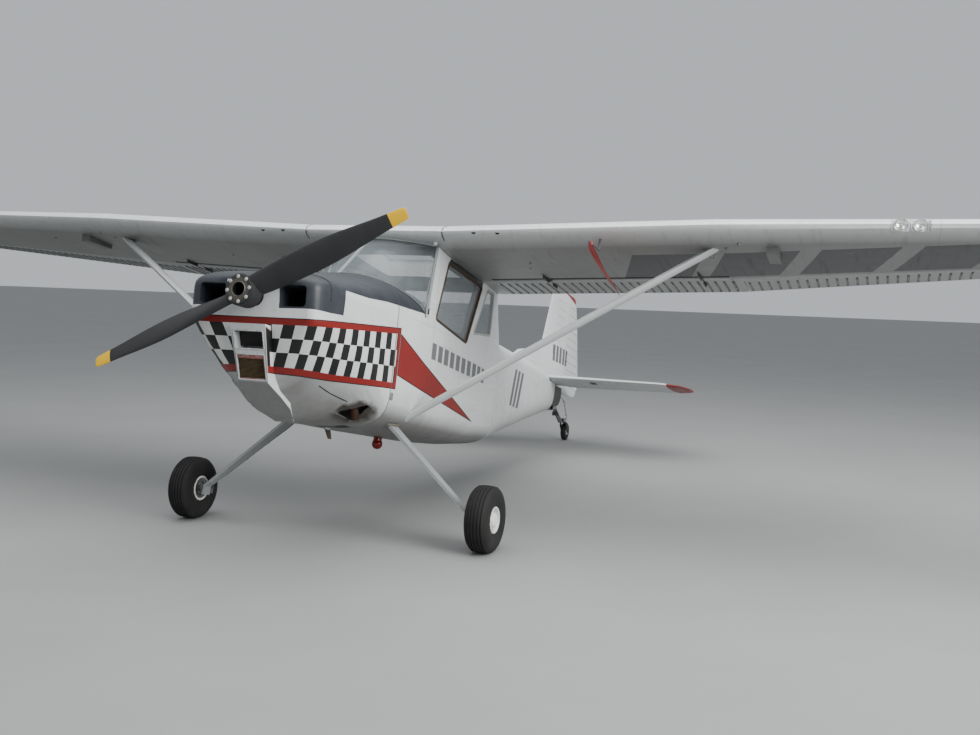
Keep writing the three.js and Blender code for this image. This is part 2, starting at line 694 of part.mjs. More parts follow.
function gearLeg(side) {
  const rows = [
    // x, y, z, half width, half thickness
    [250, 1440, -640, 70, 11],
    [392, 1441, -672, 66, 11],
    [470, 1440, -740, 60, 10],
    [1010, 1425, axleZ + 62, 42, 9],
    [1056, 1420, axleZ + 22, 40, 9],
    [1062, AXLE_STATION, axleZ - 45, 40, 9],
  ];
  const leg = loft(
    rows.map(([x, y, z, w, t], i) => {
      const [a, b] = [rows[Math.max(0, i - 1)], rows[Math.min(rows.length - 1, i + 1)]];
      const n = new THREE.Vector2(-(b[2] - a[2]), b[0] - a[0]).normalize();
      const corners = [[-1, -1], [1, -1], [1, 1], [-1, 1]];
      return corners.map(([p, q]) => [side * (x + n.x * q * t), y + p * w, z + n.y * q * t]);
    }),
  );
  return largest(leg.subtract(bodyLoft(TUB, FIREWALL, 2400, -GAP)));
}

// The stub axle with its flange, and the block that carries the brake
function axle(side) {
  const place = (x) => [side * x, AXLE_STATION, axleZ];
  const span = (x) => [AXLE_FACE * side, x * side].sort((a, b) => a - b);
  return join(
    rod(place(AXLE_FACE), place(TRACK_HALF + 60), AXLE_RADIUS, AXLE_RADIUS, 32),
    rod(place(AXLE_FACE), place(1084), 44),
    box(...span(1086), AXLE_STATION + 46, AXLE_STATION + 108, axleZ - 34, axleZ + 34),
    box(...span(1084), AXLE_STATION, AXLE_STATION + 60, axleZ - 20, axleZ + 20),
  );
}

function tyreProfile({ radius, half, rim }) {
  const bead = rim + (radius - rim) * 0.3;
  const outer = [
    [half * 0.5, radius * 0.985], [half * 0.86, radius * 0.92], [half, radius * 0.76], [half * 0.95, bead],
    [half * 0.72, rim],
  ];
  const inner = outer.map(([x, r]) => [-x, r]).reverse();
  return [...inner, [0, radius], ...outer, inner[0]];
}

const mainTyre = (side) =>
  turned(tyreProfile(TYRE).map(([x, r]) => [side * TRACK_HALF + x, r]), AXLE_STATION, axleZ);

function mainWheel(side) {
  const r = TYRE.rim - GAP;
  const profile = [
    [-76, r - 4], [-66.5, r + 10], [-60.8, r], [60.8, r], [66.5, r + 10], [76, r - 4], [74, 46],
    [70, 0], [62, 0], [62, AXLE_RADIUS + GAP], [-62, AXLE_RADIUS + GAP], [-66, 60], [-76, r - 4],
  ].map(([x, q]) => [side * (TRACK_HALF + x), q]);
  return turned([...profile], AXLE_STATION, axleZ);
}

// Ground frame: y aft of the propeller hub's foot, z above the ground
const toGround = (body) => body.rotate([-PITCH / DEG, 0, 0]).translate([0, 0, HUB_HEIGHT]);
function ground(y, z) {
  const [c, s] = [Math.cos(PITCH), Math.sin(PITCH)];
  return [y * c + z * s, HUB_HEIGHT - y * s + z * c];
}

function tailLeaf() {
  const { y, top } = PIVOT;
  const bottom = between(TAIL_CONE, 6500)[5];
  const start = ground(6500, bottom - 4);
  const mid = ground(6690, between(TAIL_CONE, 6690)[5] - 16);
  const rows = [
    [start[0] - 60, start[1], 26], [start[0], start[1], 26], [mid[0], mid[1], 25],
    [y - 139, top, 24], [y - 26, top + 14, 22],
  ];
  const leaf = loft(rows.map(([a, z, w]) => [[-w, a, z - 9], [w, a, z - 9], [w, a, z + 9], [-w, a, z + 9]]));
  return join(largest(cut(leaf, toGround(tailCone(GAP)))), rod([0, y, top - 4], [0, y, top + 34], 30));
}

function tailFork() {
  const { y, trail, top } = PIVOT;
  const outline = [
    [y - 26, top - 22], [y + 20, top - 22], [y + trail + 18, 118],
    [y + trail + 12, 90], [y + trail - 14, 92], [y - 24, top - 60],
  ];
  const plate = (side) => slab(outline, ...(side > 0 ? [36, 42] : [-42, -36]));
  return join(
    rod([0, y, top - 4 - CLEAR], [0, y, top - 20], 28),
    rod([0, y, top - 4 - GAP], [0, y, top - 20], 12),
    box(-42, 42, y - 26, y + 26, top - 22, top - 16),
    plate(1),
    plate(-1),
    rod([-48, y + trail, TAIL_TYRE.radius], [48, y + trail, TAIL_TYRE.radius], 8, 8, 28),
  );
}

const tailTyre = () => turned(tyreProfile(TAIL_TYRE), PIVOT.y + PIVOT.trail, TAIL_TYRE.radius, 28);

const tailWheel = () => {
  const r = TAIL_TYRE.rim - GAP;
  const profile = [[-30, 8.3], [-30, r - 6], [-21.5, r], [21.5, r], [30, r - 6], [30, 8.3], [-30, 8.3]];
  return turned(profile, PIVOT.y + PIVOT.trail, TAIL_TYRE.radius, 28);
};

// Propeller

const BLADE = [
  // radius, chord, thickness, pitch in degrees
  [60, 150, 66, 52],
  [170, 162, 56, 46],
  [330, 170, 40, 38],
  [560, 168, 26, 28],
  [740, 144, 20, 23],
  [930, 104, 14, 19],
  [1110, 78, 9, 15.5],
  [1130, 72, 7.5, 15.2],
  [BLADE_TIP, 56, 6, 15],
];

function propeller() {
  const shape = [
    // along the chord, across it
    [-0.5, 0], [-0.36, 0.42], [-0.08, 0.6], [0.25, 0.42], [0.5, 0.04], [0.3, -0.28], [-0.1, -0.4], [-0.4, -0.28],
  ];
  const blade = (side) =>
    loft(
      BLADE.map(([r, chord, thick, pitch]) => {
        const [c, s] = [Math.cos(pitch * DEG), Math.sin(pitch * DEG)];
        return shape.map(([u, v]) => {
          const [a, b] = [-u * chord, v * thick];
          return [side * r, -(a * s + b * c) - BLADE_LEAD, side * (a * c - b * s)];
        });
      }),
    );
  const boss = rod([0, -70, 0], [0, 50, 0], 98, 98, 28);
  const turn = new THREE.Matrix4().makeRotationY(-BLADE_TURN);
  const bore = rod([0, -100, 0], [0, 80, 0], 55, 55, 24);
  return cut(join(blade(1), blade(-1), boss), bore).transform(turn.elements);
}

function propellerHub() {
  const bolts = [...Array(8).keys()].map((i) => {
    const a = ((i + 0.5) * Math.PI) / 4;
    return rod([77 * Math.cos(a), -86, 77 * Math.sin(a)], [77 * Math.cos(a), -74, 77 * Math.sin(a)], 9, 9, 6);
  });
  const ring = rod([0, -78, 0], [0, -70 - GAP, 0], 92, 92, 28);
  const sleeve = rod([0, -78, 0], [0, 90, 0], 54, 54, 24);
  const shaft = rod([0, 50 + GAP, 0], [0, 400 - GAP, 0], 57.5, 57.5, 24);
  const hole = rod([0, -110, 0], [0, 60, 0], 42, 42, 24);
  return cut(join(ring, sleeve, shaft, ...bolts), hole);
}

// Small pieces

// Two lamps side by side in the leading edge
function landingLights() {
  const front = [[-0.05, -0.06], [0.035, -0.06], [0.035, 0.09], [-0.05, 0.09]];
  return wingLoft([3664, 3778, 3899]).intersect(wingPrism(3600, 3950, front));
}

function lightRecess() {
  const front = [[-0.06, -0.07], [0.0353, -0.07], [0.0353, 0.1], [-0.06, 0.1]];
  return wingPrism(3663.4, 3899.6, front);
}

function pitot() {
  const wingSkin = wingLoft([WING_ROOT, WING_KNEE], GAP);
  const [x, y] = [1740, 1680];
  const z = underside(x, y);
  const mast = largest(cut(rod([x, y + 6, z + 40], [x, y - 8, z - 78], 9), wingSkin));
  return join(mast, rod([x, y + 4, z - 78], [x, 1396, z - 84], 8));
}

const beacon = () => {
  const g = new THREE.SphereGeometry(42, 20, 12);
  return join(solid(g.translate(0, 2060, -800)), rod([0, 2060, -745 - GAP], [0, 2060, -790], 34));
};

const drainMast = () => slab([[1180, -730], [1260, -730], [1300, -815], [1262, -815]], -6, 6);

// Each arm hangs below the slot: one half on the wing, the other on the flap
const flapArm = (side, x, y0, y1, depth) => {
  const skin = [y0, y1].map((y) => underside(x, y));
  const plate = [[y0, skin[0] + 30], [y1, skin[1] + 30], [y1, skin[1] - depth], [y0 + 40, skin[0] - depth]];
  return slab(plate, ...(side > 0 ? [x - 5, x + 5] : [-x - 5, -x + 5]));
};

// The pad under the wing that a stores rack bolts to
function hardPoint(side) {
  const x = side * HARD_POINT.x;
  const y = HARD_POINT.y;
  const pad = box(x - 40, x + 40, y - 150, y + 150, HARD_POINT.face, HARD_POINT.face + 120);
  return pad;
}

// Assembly

const airframe = new THREE.Group();
const groundFrame = new THREE.Group();

function add(group, name, body, material) {
  const mesh = body.getMesh();
  const g = new THREE.BufferGeometry()
    .setAttribute("position", new THREE.Float32BufferAttribute(mesh.vertProperties, 3))
    .setIndex(new THREE.BufferAttribute(mesh.triVerts, 1));
  const node = new THREE.Mesh(g, material);
  node.name = name;
  group.add(node);
}

function assemble() {
  const cowl = cowling();
  const wall = sides();
  const put = (...node) => add(airframe, ...node);
  put("nose_bowl", noseBowl(), WHITE);
  put("cowl_upper", cowl.upper, CHARCOAL);
  put("cowl_lower", cowl.lower, WHITE);
  put("intake_filter", intakeFilter(), BLACK);
  put("engine_block", engineBlock(), STEEL);
  put("exhaust_stacks", exhaustStacks(), STEEL);
  put("firewall", firewall(), STEEL);
  put("cabin_tub", tub(), WHITE);
  put("cabin_floor", floorBoard(), STEEL);
  put("cowl_deck", deck(), CHARCOAL);
  put("cabin_side_port", wall.port, WHITE);
  put("cabin_side_starboard", wall.starboard, WHITE);
  put("cabin_door", wall.door, WHITE);
  put("cabin_roof", roof(), WHITE);
  put("skylight", skylight(), GLASS);
  put("windscreen", windscreen(), GLASS);
  put("rear_window", rearWindow(), GLASS);
  put("window_port_front", pane(WINDOW_FRONT, 1, 479), GLASS);
  put("window_port_rear", pane(WINDOW_REAR, 1, 468), GLASS);
  put("window_starboard_rear", pane(WINDOW_REAR, -1, 468), GLASS);
  put("door_window", pane(DOOR_WINDOW, -1, 479), GLASS);
  put("instrument_panel", instrumentPanel(), BLACK);
  put("seat_front", seat(2060, 210), STEEL);
  put("seat_rear", seat(2700, 200), STEEL);
  put("cushion_front", cushions(2060, 210), CANVAS);
  put("cushion_rear", cushions(2700, 200), CANVAS);
  put("tail_cone", join(tailCone(), rudderBracket()), WHITE);
  put("stabiliser", stabiliser(), WHITE);
  put("elevators", elevators(), WHITE);
  put("fin", fin(), WHITE);
  put("rudder", rudder(), WHITE);
  for (const [side, name] of [[1, "port"], [-1, "starboard"]]) {
    const w = wing(side);
    put("wing_" + name, side > 0 ? w.wing.subtract(lightRecess()) : w.wing, WHITE);
    put("flap_" + name, w.flap, WHITE);
    put("aileron_" + name, w.aileron, WHITE);
    put("strut_" + name, strut(side), WHITE);
    put("gear_leg_" + name, gearLeg(side), WHITE);
    put("axle_" + name, axle(side), STEEL);
    put("tyre_" + name, mainTyre(side), RUBBER);
    put("wheel_" + name, mainWheel(side), WHITE);
  }
  put("landing_lights", landingLights(), GLASS);
  put("pitot", pitot(), STEEL);
  put("beacon", beacon(), RED);
  put("propeller", propeller(), BLACK);
  put("propeller_hub", propellerHub(), STEEL);
  add(groundFrame, "tail_spring", tailLeaf(), STEEL);
  add(groundFrame, "tail_fork", tailFork(), STEEL);
  add(groundFrame, "tail_tyre", tailTyre(), RUBBER);
  add(groundFrame, "tail_wheel", tailWheel(), STEEL);
}

assemble();
airframe.rotation.x = -PITCH;
airframe.position.z = HUB_HEIGHT;
const aircraft = new THREE.Group();
aircraft.add(airframe, groundFrame);
const extent = new THREE.Box3().setFromObject(aircraft, true);
const middle = extent.getCenter(new THREE.Vector3());
for (const group of [airframe, groundFrame]) {
  group.position.x -= middle.x;
  group.position.y -= middle.y;
  group.position.z -= extent.min.z;
}

export default aircraft;
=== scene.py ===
"""Looks of a two-seat high-wing light aircraft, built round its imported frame.

Places are given as (x, s, w) in millimetres: to port, aft of the propeller and above the thrust
line of the level airframe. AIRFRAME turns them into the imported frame, where it stands nose up on
its tailwheel.
"""

import math

import bmesh
import bpy
from mathutils import Matrix, Vector
from mathutils.bvhtree import BVHTree
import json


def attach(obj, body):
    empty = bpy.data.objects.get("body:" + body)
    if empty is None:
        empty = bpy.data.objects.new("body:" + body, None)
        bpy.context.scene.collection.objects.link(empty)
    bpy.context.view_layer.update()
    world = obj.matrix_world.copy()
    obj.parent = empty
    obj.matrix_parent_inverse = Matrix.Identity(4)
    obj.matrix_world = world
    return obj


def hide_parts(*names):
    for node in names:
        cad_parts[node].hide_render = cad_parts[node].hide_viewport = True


bl_info = {
    "name": "Light aircraft looks",
    "version": (1, 0, 0),
    "blender": (4, 5, 0),
    "location": "3D View > Sidebar > Aircraft",
    "description": "Builds the paint, propeller, wheels, cabin and small fittings of a light aircraft",
    "category": "Object",
}

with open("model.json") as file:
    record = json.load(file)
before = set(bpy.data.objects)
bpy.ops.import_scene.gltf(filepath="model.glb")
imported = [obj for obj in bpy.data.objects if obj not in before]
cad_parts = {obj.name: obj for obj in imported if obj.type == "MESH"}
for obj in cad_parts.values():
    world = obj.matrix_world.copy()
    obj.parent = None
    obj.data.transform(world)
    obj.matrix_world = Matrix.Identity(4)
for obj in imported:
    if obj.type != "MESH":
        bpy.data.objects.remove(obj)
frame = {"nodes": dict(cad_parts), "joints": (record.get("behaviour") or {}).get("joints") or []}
JOINT = {joint["name"]: joint for joint in frame["joints"]}
HUB = Vector(JOINT["propeller_spin"]["pos_m"])
PITCH = math.radians(10.5)
AIRFRAME = Matrix.Translation(HUB) @ Matrix.Rotation(-PITCH, 4, "X") @ Matrix.Scale(0.001, 4)


def srgb(code):
    """An sRGB hex code as a linear colour."""
    parts = [int(code[i : i + 2], 16) / 255 for i in (0, 2, 4)]
    return tuple(c / 12.92 if c <= 0.04045 else ((c + 0.055) / 1.055) ** 2.4 for c in parts)


def rgba(colour):
    return (*colour[:3], 1.0)


def at(x, s, w):
    """A place on the level airframe, in mm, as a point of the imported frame."""
    return AIRFRAME @ Vector((x, s, w))


def heading(x, s, w):
    """A direction on the level airframe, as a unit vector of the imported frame."""
    return (AIRFRAME.to_3x3() @ Vector((x, s, w))).normalized()


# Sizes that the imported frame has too, in mm

BLADE_TURN = math.radians(25.8)
BLADE = [
    # radius, chord, thickness, pitch in degrees
    (60, 150, 66, 52),
    (170, 162, 56, 46),
    (330, 170, 40, 38),
    (560, 168, 26, 28),
    (740, 144, 20, 23),
    (930, 104, 14, 19),
    (1110, 78, 9, 15.5),
    (1130, 72, 7.5, 15.2),
    (1143, 56, 6, 15),
]
BLADE_LEAD = 8
SIDES = ((1, "port"), (-1, "starboard"))
# Each seat's name, station and half width over its cushion
SEATS = (("front", 2060, 182), ("rear", 2700, 172))
TRACK_HALF, AXLE_STATION, AXLE_W = 1176, 1419, -1261.5
# Window openings in the side view, as pairs of s and w, anticlockwise from the lower front corner
FRONT_WINDOW = [(1845, 170), (2500, 90), (2735, 585), (1995, 628)]
REAR_WINDOW = [(2655, 190), (3080, 240), (3085, 590), (2900, 582)]
DOOR_WINDOW = [(1858, 150), (2490, 84), (2640, 540), (2010, 580)]
# Strip of glazing between the front window's frame and the wing, dark and nearly opaque as painted shade of
# the cabin behind it
HEAD_STRIP = [(1999, 633), (2738, 590), (2752, 630), (2010, 662)]
# Lower edge of the charcoal paint: station as a share of 2 m, and height as a share of 1 m from 0.5 m down
CHARCOAL_EDGE = [(0.0, 0.42), (0.107, 0.421), (0.186, 0.433), (0.1865, 0.592), (0.34, 0.603),
                 (0.488, 0.632), (0.651, 0.649), (0.84, 0.67), (1.0, 0.72)]
MARK_GREY = (0.05, 0.052, 0.055, 1)
SEAM_SOOT = (0.12, 0.12, 0.11, 1)


# Sizes and colours that a user would change


def colour(name, note, code):
    return bpy.props.FloatVectorProperty(
        name=name, description=note, subtype="COLOR", size=3, min=0, max=1, default=srgb(code)
    )


def length(name, note, default):
    return bpy.props.FloatProperty(
        name=name, description=note, subtype="DISTANCE", unit="LENGTH", default=default
    )


class AircraftPaint(bpy.types.PropertyGroup):
    white: colour("White", "Sun-bleached light grey white of the whole aircraft", "D3D6D6")
    charcoal: colour("Charcoal", "Anti-glare panel round the inlets and over the cowl", "2C3036")
    red: colour("Red", "Stripes, flash and tail tips", "7F160F")
    black: colour("Black", "Band on the cowl and edges of the stripes", "121212")
    yellow: colour("Yellow", "Propeller tips", "E6B602")
    blade: colour("Blade", "Matt lacquer of the propeller", "1F2021")
    grime: colour("Grime", "Oil and dust that gather low down", "6A6455")


class AircraftSizes(bpy.types.PropertyGroup):
    rivet_pitch: length("Rivet pitch", "Distance between rivets along a row", 0.032)
    bead_height: length("Bead height", "Rise of the stiffening beads on flaps and tail", 0.008)
    streamer_width: length("Streamer width", "Width of the cloth strip on the air probe", 0.075)
    tread_groove: length("Tread groove", "Depth of the grooves round the main tyres", 0.006)


class AircraftStage(bpy.types.PropertyGroup):
    floor: colour("Floor", "Plain floor", "969796")
    sky: colour("Sky", "Soft light from all round", "E4E9EF")
    camera: bpy.props.FloatVectorProperty(
        name="Camera", description="Place of the camera", subtype="TRANSLATION", unit="LENGTH",
        default=(3.74785, -9.50603, 1.78780),
    )
    yaw: bpy.props.FloatProperty(
        name="Yaw", description="Turn of the camera to port", subtype="ANGLE", default=math.radians(20.248)
    )
    tilt: bpy.props.FloatProperty(
        name="Tilt", description="Camera pitch above level", subtype="ANGLE", default=math.radians(-4.012)
    )
    roll: bpy.props.FloatProperty(
        name="Roll", description="Camera roll", subtype="ANGLE", default=math.radians(1.918)
    )
    lens: bpy.props.FloatProperty(name="Lens", description="Focal length in mm", default=40.607)


# Materials


def feed(tree, node, inputs):
    """Sets or links a node's inputs. A value may be a number, a node or a socket."""
    for key, value in inputs.items():
        socket = node.inputs[key]
        if isinstance(value, bpy.types.Node):
            value = value.outputs[0]
        if isinstance(value, bpy.types.NodeSocket):
            tree.links.new(value, socket)
        else:
            socket.default_value = value


def add(tree, kind, inputs=None, **settings):
    """Adds a shader node with its settings and inputs."""
    made = tree.nodes.new("ShaderNode" + kind)
    for name, value in settings.items():
        setattr(made, name, value)
    feed(tree, made, inputs or {})
    return made


def maths(operation):
    """A function that adds a Math node of one kind over one or two values."""

    def made(tree, first, second=None):
        return add(tree, "Math", {0: first} if second is None else {0: first, 1: second}, operation=operation)

    return made


plus, minus, times, ratio = map(maths, ("ADD", "SUBTRACT", "MULTIPLY", "DIVIDE"))
larger, smaller, less, more = map(maths, ("MAXIMUM", "MINIMUM", "LESS_THAN", "GREATER_THAN"))
unsigned, remainder, pingpong, floored = map(maths, ("ABSOLUTE", "MODULO", "PINGPONG", "FLOOR"))


def ramp(tree, value, start, end, low, high, **settings):
    """A value that goes straight from low at the start to high at the end, and stays so past them."""
    return add(tree, "MapRange", {0: value, 1: start, 2: end, 3: low, 4: high}, **settings)


def noise(tree, where, scale, detail, roughness=0.5):
    """Cloudy noise of that many features a metre."""
    inputs = {"Vector": where, "Scale": scale, "Detail": detail, "Roughness": roughness}
    return add(tree, "TexNoise", inputs)


def bump(tree, height, strength, distance):
    return add(tree, "Bump", {"Height": height, "Strength": strength, "Distance": distance})


def curve(tree, value, points):
    """A value read off straight lines through the points, which go from 0 to 1."""
    made = add(tree, "FloatCurve", {1: value})
    line = made.mapping.curves[0].points
    line[0].location, line[-1].location = points[0], points[-1]
    for point in points[1:-1]:
        line.new(*point)
    for point in line:
        point.handle_type = "VECTOR"
    made.mapping.use_clip = False
    made.mapping.update()
    return made


def blank(name):
    """A new material with its nodes and shader, or the one that is already there, with None for both."""
    if name in bpy.data.materials:
        return bpy.data.materials[name], None, None
    made = bpy.data.materials.new(name)
    made.use_nodes = True
    return made, made.node_tree, made.node_tree.nodes["Principled BSDF"]


def airframe_place(tree):
    """Object coordinates turned level with the airframe: metres to port, aft and above the thrust line."""
    turn = Matrix.Rotation(PITCH, 3, "X")
    here = add(tree, "TexCoord").outputs["Object"]
    place = add(tree, "Mapping", {"Vector": here, "Location": -(turn @ HUB), "Rotation": (PITCH, 0, 0)})
    return here, place, add(tree, "SeparateXYZ", {0: place})


def rivet_rows(tree, along, across, rows, pitch):
    """Rivet heads of 6 mm, a pitch apart, on lines that lie every rows metres across."""
    step = pingpong(tree, along, pitch / 2)
    offset = pingpong(tree, across, rows / 2)
    both = add(tree, "CombineXYZ", {0: step, 1: offset})
    far = add(tree, "VectorMath", {0: both}, operation="LENGTH").outputs["Value"]
    return ramp(tree, far, 0.0022, 0.0034, 1.0, 0.0, interpolation_type="SMOOTHSTEP")


def over(tree, mask, under, above):
    """One colour laid over another where the mask is 1."""
    return add(tree, "Mix", {0: mask, 6: under, 7: above}, data_type="RGBA").outputs[2]


def near_line(tree, value, line, half, soft=0.0006):
    """1 on a line of that half width, 0 off it."""
    gap = unsigned(tree, minus(tree, value, line))
    return ramp(tree, gap, half, half + soft, 1.0, 0.0)


def step_up(tree, value, edge, soft=0.0012):
    """0 below the edge, 1 above it."""
    return ramp(tree, value, edge, edge + soft, 0.0, 1.0)


def row_of_bars(tree, run, pitch, width, reach, rise, middle, half):
    """A row of bars along a run that starts at 0, as high as half on either side of its middle."""
    bars = less(tree, remainder(tree, run, pitch), width)
    level = unsigned(tree, minus(tree, rise, middle))
    for part in (step_up(tree, run, 0.0), less(tree, run, reach), less(tree, level, half)):
        bars = times(tree, bars, part)
    return bars


def weathered_and_shaded(tree, here, place, parts, base, grime, low=-0.9, high=-0.3, dark=0.84):
    """Bleached, stained and dusty paint over a base colour, with painted shade on whatever faces down. Gives
    the colour and a mask of wear.
    """
    cloud = noise(tree, here, 1.3, 6.0, 0.62)
    fade = ramp(tree, cloud, 0.35, 0.7, 0.0, 0.5)
    pale = over(tree, fade, base, (0.83, 0.84, 0.83, 1))
    streaks = add(tree, "Mapping", {"Vector": place, "Scale": (14.0, 0.9, 14.0)})
    smear = noise(tree, streaks, 1.6, 5.0, 0.6)
    smear = ramp(tree, smear, 0.52, 0.78, 0.0, 0.42)
    low_down = ramp(tree, parts.outputs[2], high, low, 0.12, 0.62)
    spots = noise(tree, here, 7.0, 8.0, 0.7)
    spots = ramp(tree, spots, 0.4, 0.75, 0.1, 1.0)
    dirt = times(tree, low_down, spots)
    dirt = larger(tree, dirt, smear)
    dirt = times(tree, dirt, 0.62)
    stained = over(tree, dirt, pale, grime)

    # Painted shade on whatever faces down, uneven in patches
    normal = add(tree, "SeparateXYZ", {0: add(tree, "NewGeometry").outputs["Normal"]})
    below = ramp(tree, normal.outputs[2], -0.04, -0.66, 0.0, dark)
    dust_film_and_shade = ramp(tree, cloud, 0.25, 0.7, 0.86, 1.0)
    below = times(tree, below, dust_film_and_shade)
    return over(tree, below, stained, (0.085, 0.082, 0.072, 1)), dirt


def finish_paint(tree, shader, here, shown, dirt, bumps, gloss=0.42):
    """Semi-gloss enamel: orange peel of about 3 mm, dull where dirty, and the rises that it covers."""
    shade = ramp(tree, dirt, 0.0, 0.5, gloss, gloss + 0.3)
    peel = noise(tree, here, 320.0, 2.0)
    normal = bump(tree, peel, 0.06, 0.0006)
    dents = noise(tree, here, 4.5, 2.0)
    normal = add(tree, "Bump", {"Height": dents, "Normal": normal, "Strength": 0.25, "Distance": 0.006})
    for height, rise in bumps:
        normal = add(tree, "Bump", {"Height": height, "Normal": normal, "Strength": 0.6, "Distance": rise})
    feed(tree, shader, {"Base Color": shown, "Roughness": shade, "Normal": normal})


def fuselage_enamel():
    """Semi-gloss enamel sprayed on aluminium skins, with its charcoal panel, band and flash."""
    made, tree, shader = blank("fuselage enamel")
    if not tree:
        return made
    paint = bpy.context.scene.aircraft_paint
    pitch = bpy.context.scene.aircraft_sizes.rivet_pitch
    here, place, parts = airframe_place(tree)
    x, s, w = parts.outputs
    side = unsigned(tree, x)
    shown, dirt = weathered_and_shaded(tree, here, place, parts, rgba(paint.white), rgba(paint.grime))

    # Charcoal over the cowl, down round the inlets, and white again between them
    edge = curve(tree, ramp(tree, s, 0.0, 2.0, 0.0, 1.0), CHARCOAL_EDGE)
    level = ramp(tree, w, -0.5, 0.5, 0.0, 1.0)
    charcoal = minus(tree, level, edge)
    charcoal = step_up(tree, charcoal, 0.0)
    ahead = step_up(tree, s, 0.332)
    outboard = step_up(tree, side, 0.185)
    high = step_up(tree, w, 0.088)
    keep = larger(tree, ahead, outboard)
    keep = larger(tree, keep, high)
    charcoal = times(tree, charcoal, keep)
    fore = ramp(tree, s, 1.705, 1.706, 1.0, 0.0)
    charcoal = times(tree, charcoal, fore)
    worn = noise(tree, here, 3.0, 7.0, 0.65)
    worn = ramp(tree, worn, 0.4, 0.75, 0.0, 0.35)
    dark = over(tree, worn, rgba(paint.charcoal), (0.11, 0.12, 0.135, 1))
    shown = over(tree, charcoal, shown, dark)

    # Band of plain black and white checks round the nose, between two slanting red lines
    stripe, check = 0.038, 0.083
    top = ramp(tree, s, 0.13, 1.2, -0.139, -0.012, clamp=False)
    foot = ramp(tree, s, 0.5, 1.2, -0.468, -0.432)
    from_top = minus(tree, top, w)
    from_foot = minus(tree, w, foot)
    from_end = minus(tree, 1.228, s)
    within = smaller(tree, from_top, from_foot)
    within = smaller(tree, within, from_end)
    chin_front = ramp(tree, w, -0.187, -0.533, 0.1275, 0.1075, clamp=False)
    chin_rear = ramp(tree, w, -0.187, -0.604, 0.1225, 0.1325, clamp=False)
    chin_half = add(tree, "Mix", {0: ramp(tree, s, 0.2, 0.33, 0.0, 1.0), 2: chin_front, 3: chin_rear})
    beside = minus(tree, side, chin_half)
    above = minus(tree, w, -0.186)
    beyond = larger(tree, beside, above)
    clear, jamb = step_up(tree, beyond, 0.0), step_up(tree, beyond, 0.007)
    girth = plus(tree, s, side)
    girth = minus(tree, girth, 0.503)
    depth = plus(tree, from_top, from_foot)
    depth = minus(tree, depth, 2 * stripe)
    share = minus(tree, from_foot, stripe)
    share = ratio(tree, share, depth)
    row = ramp(tree, share, 0.0, 1.0, 2.0, 5.0, clamp=False)
    row = floored(tree, row)
    column = ramp(tree, girth, 0.0, check, 40.0, 41.0, clamp=False)
    column = floored(tree, column)
    checks = plus(tree, row, column)
    checks = remainder(tree, checks, 2.0)
    for depth_in, ink in ((-0.006, paint.black), (0.0, paint.red), (stripe, paint.black)):
        part = times(tree, step_up(tree, within, depth_in), clear)
        shown = over(tree, part, shown, rgba(ink))
    chalk = over(tree, dirt, (0.70, 0.71, 0.69, 1), rgba(paint.grime))
    inner = times(tree, step_up(tree, within, stripe), checks)
    inner = times(tree, inner, jamb)
    shown = over(tree, inner, shown, chalk)

    # Plain flash that tapers aft from the end of the band
    upper = ramp(tree, s, 1.24, 2.6, -0.05, -0.47, clamp=False)
    lower = ramp(tree, s, 1.24, 2.6, -0.33, -0.5, clamp=False)
    below = minus(tree, upper, w)
    up = minus(tree, w, lower)
    aft = minus(tree, s, 1.243)
    flash = smaller(tree, below, up)
    flash = smaller(tree, flash, aft)
    shown = over(tree, step_up(tree, flash, -0.008), shown, rgba(paint.black))
    shown = over(tree, step_up(tree, flash, 0.0), shown, rgba(paint.red))

    # Row of plain dark blocks along the cabin's side
    crest = ramp(tree, s, 1.814, 3.042, -0.014, -0.068, clamp=False)
    base = ramp(tree, s, 1.85, 3.08, -0.142, -0.192, clamp=False)
    tall = minus(tree, crest, w)
    deep = minus(tree, w, base)
    tall = smaller(tree, tall, deep)
    first = minus(tree, s, 1.826)
    cell = remainder(tree, first, 0.1245)
    blocks = less(tree, cell, 0.088)
    last = less(tree, s, 3.03)
    for part in (step_up(tree, tall, 0.0), step_up(tree, first, 0.0), last, step_up(tree, side, 0.38)):
        blocks = times(tree, blocks, part)
    blocks = times(tree, blocks, 0.85)
    shown = over(tree, blocks, shown, MARK_GREY)

    # Drain mast under the belly, brown with oil
    mast = times(tree, w, -1.0)
    narrow = less(tree, side, 0.01)
    mast = times(tree, step_up(tree, mast, 0.752), narrow)
    shown = over(tree, mast, shown, (0.085, 0.055, 0.035, 1))

    # Painted shade: everything behind the cowl that faces inwards, the cabin's walls and ceiling, is dull
    # dark grey
    inward = ramp(tree, s, 2.78, 3.4, 0.4665, 0.4265)
    inward = minus(tree, inward, side)
    inward = step_up(tree, inward, 0.0, 0.0005)
    cabin = times(tree, step_up(tree, s, 1.172), step_up(tree, w, -0.6))
    normal = add(tree, "NewGeometry").outputs["Normal"]
    normal = add(tree, "Mapping", {"Vector": normal, "Rotation": (PITCH, 0, 0)}, vector_type="NORMAL")
    outer = add(tree, "SeparateXYZ", {0: normal})
    inwards = times(tree, outer.outputs[0], x)
    facing = less(tree, inwards, 0.0)
    sideways = unsigned(tree, outer.outputs[0])
    sideways = more(tree, sideways, 0.6)
    facing = times(tree, facing, sideways)
    floorward = less(tree, outer.outputs[2], -0.4)
    ceiling = times(tree, floorward, step_up(tree, w, 0.02))
    inside = larger(tree, facing, ceiling)
    inside = times(tree, inside, inward)
    inside = times(tree, inside, cabin)
    shown = over(tree, inside, shown, (0.028, 0.03, 0.029, 1))

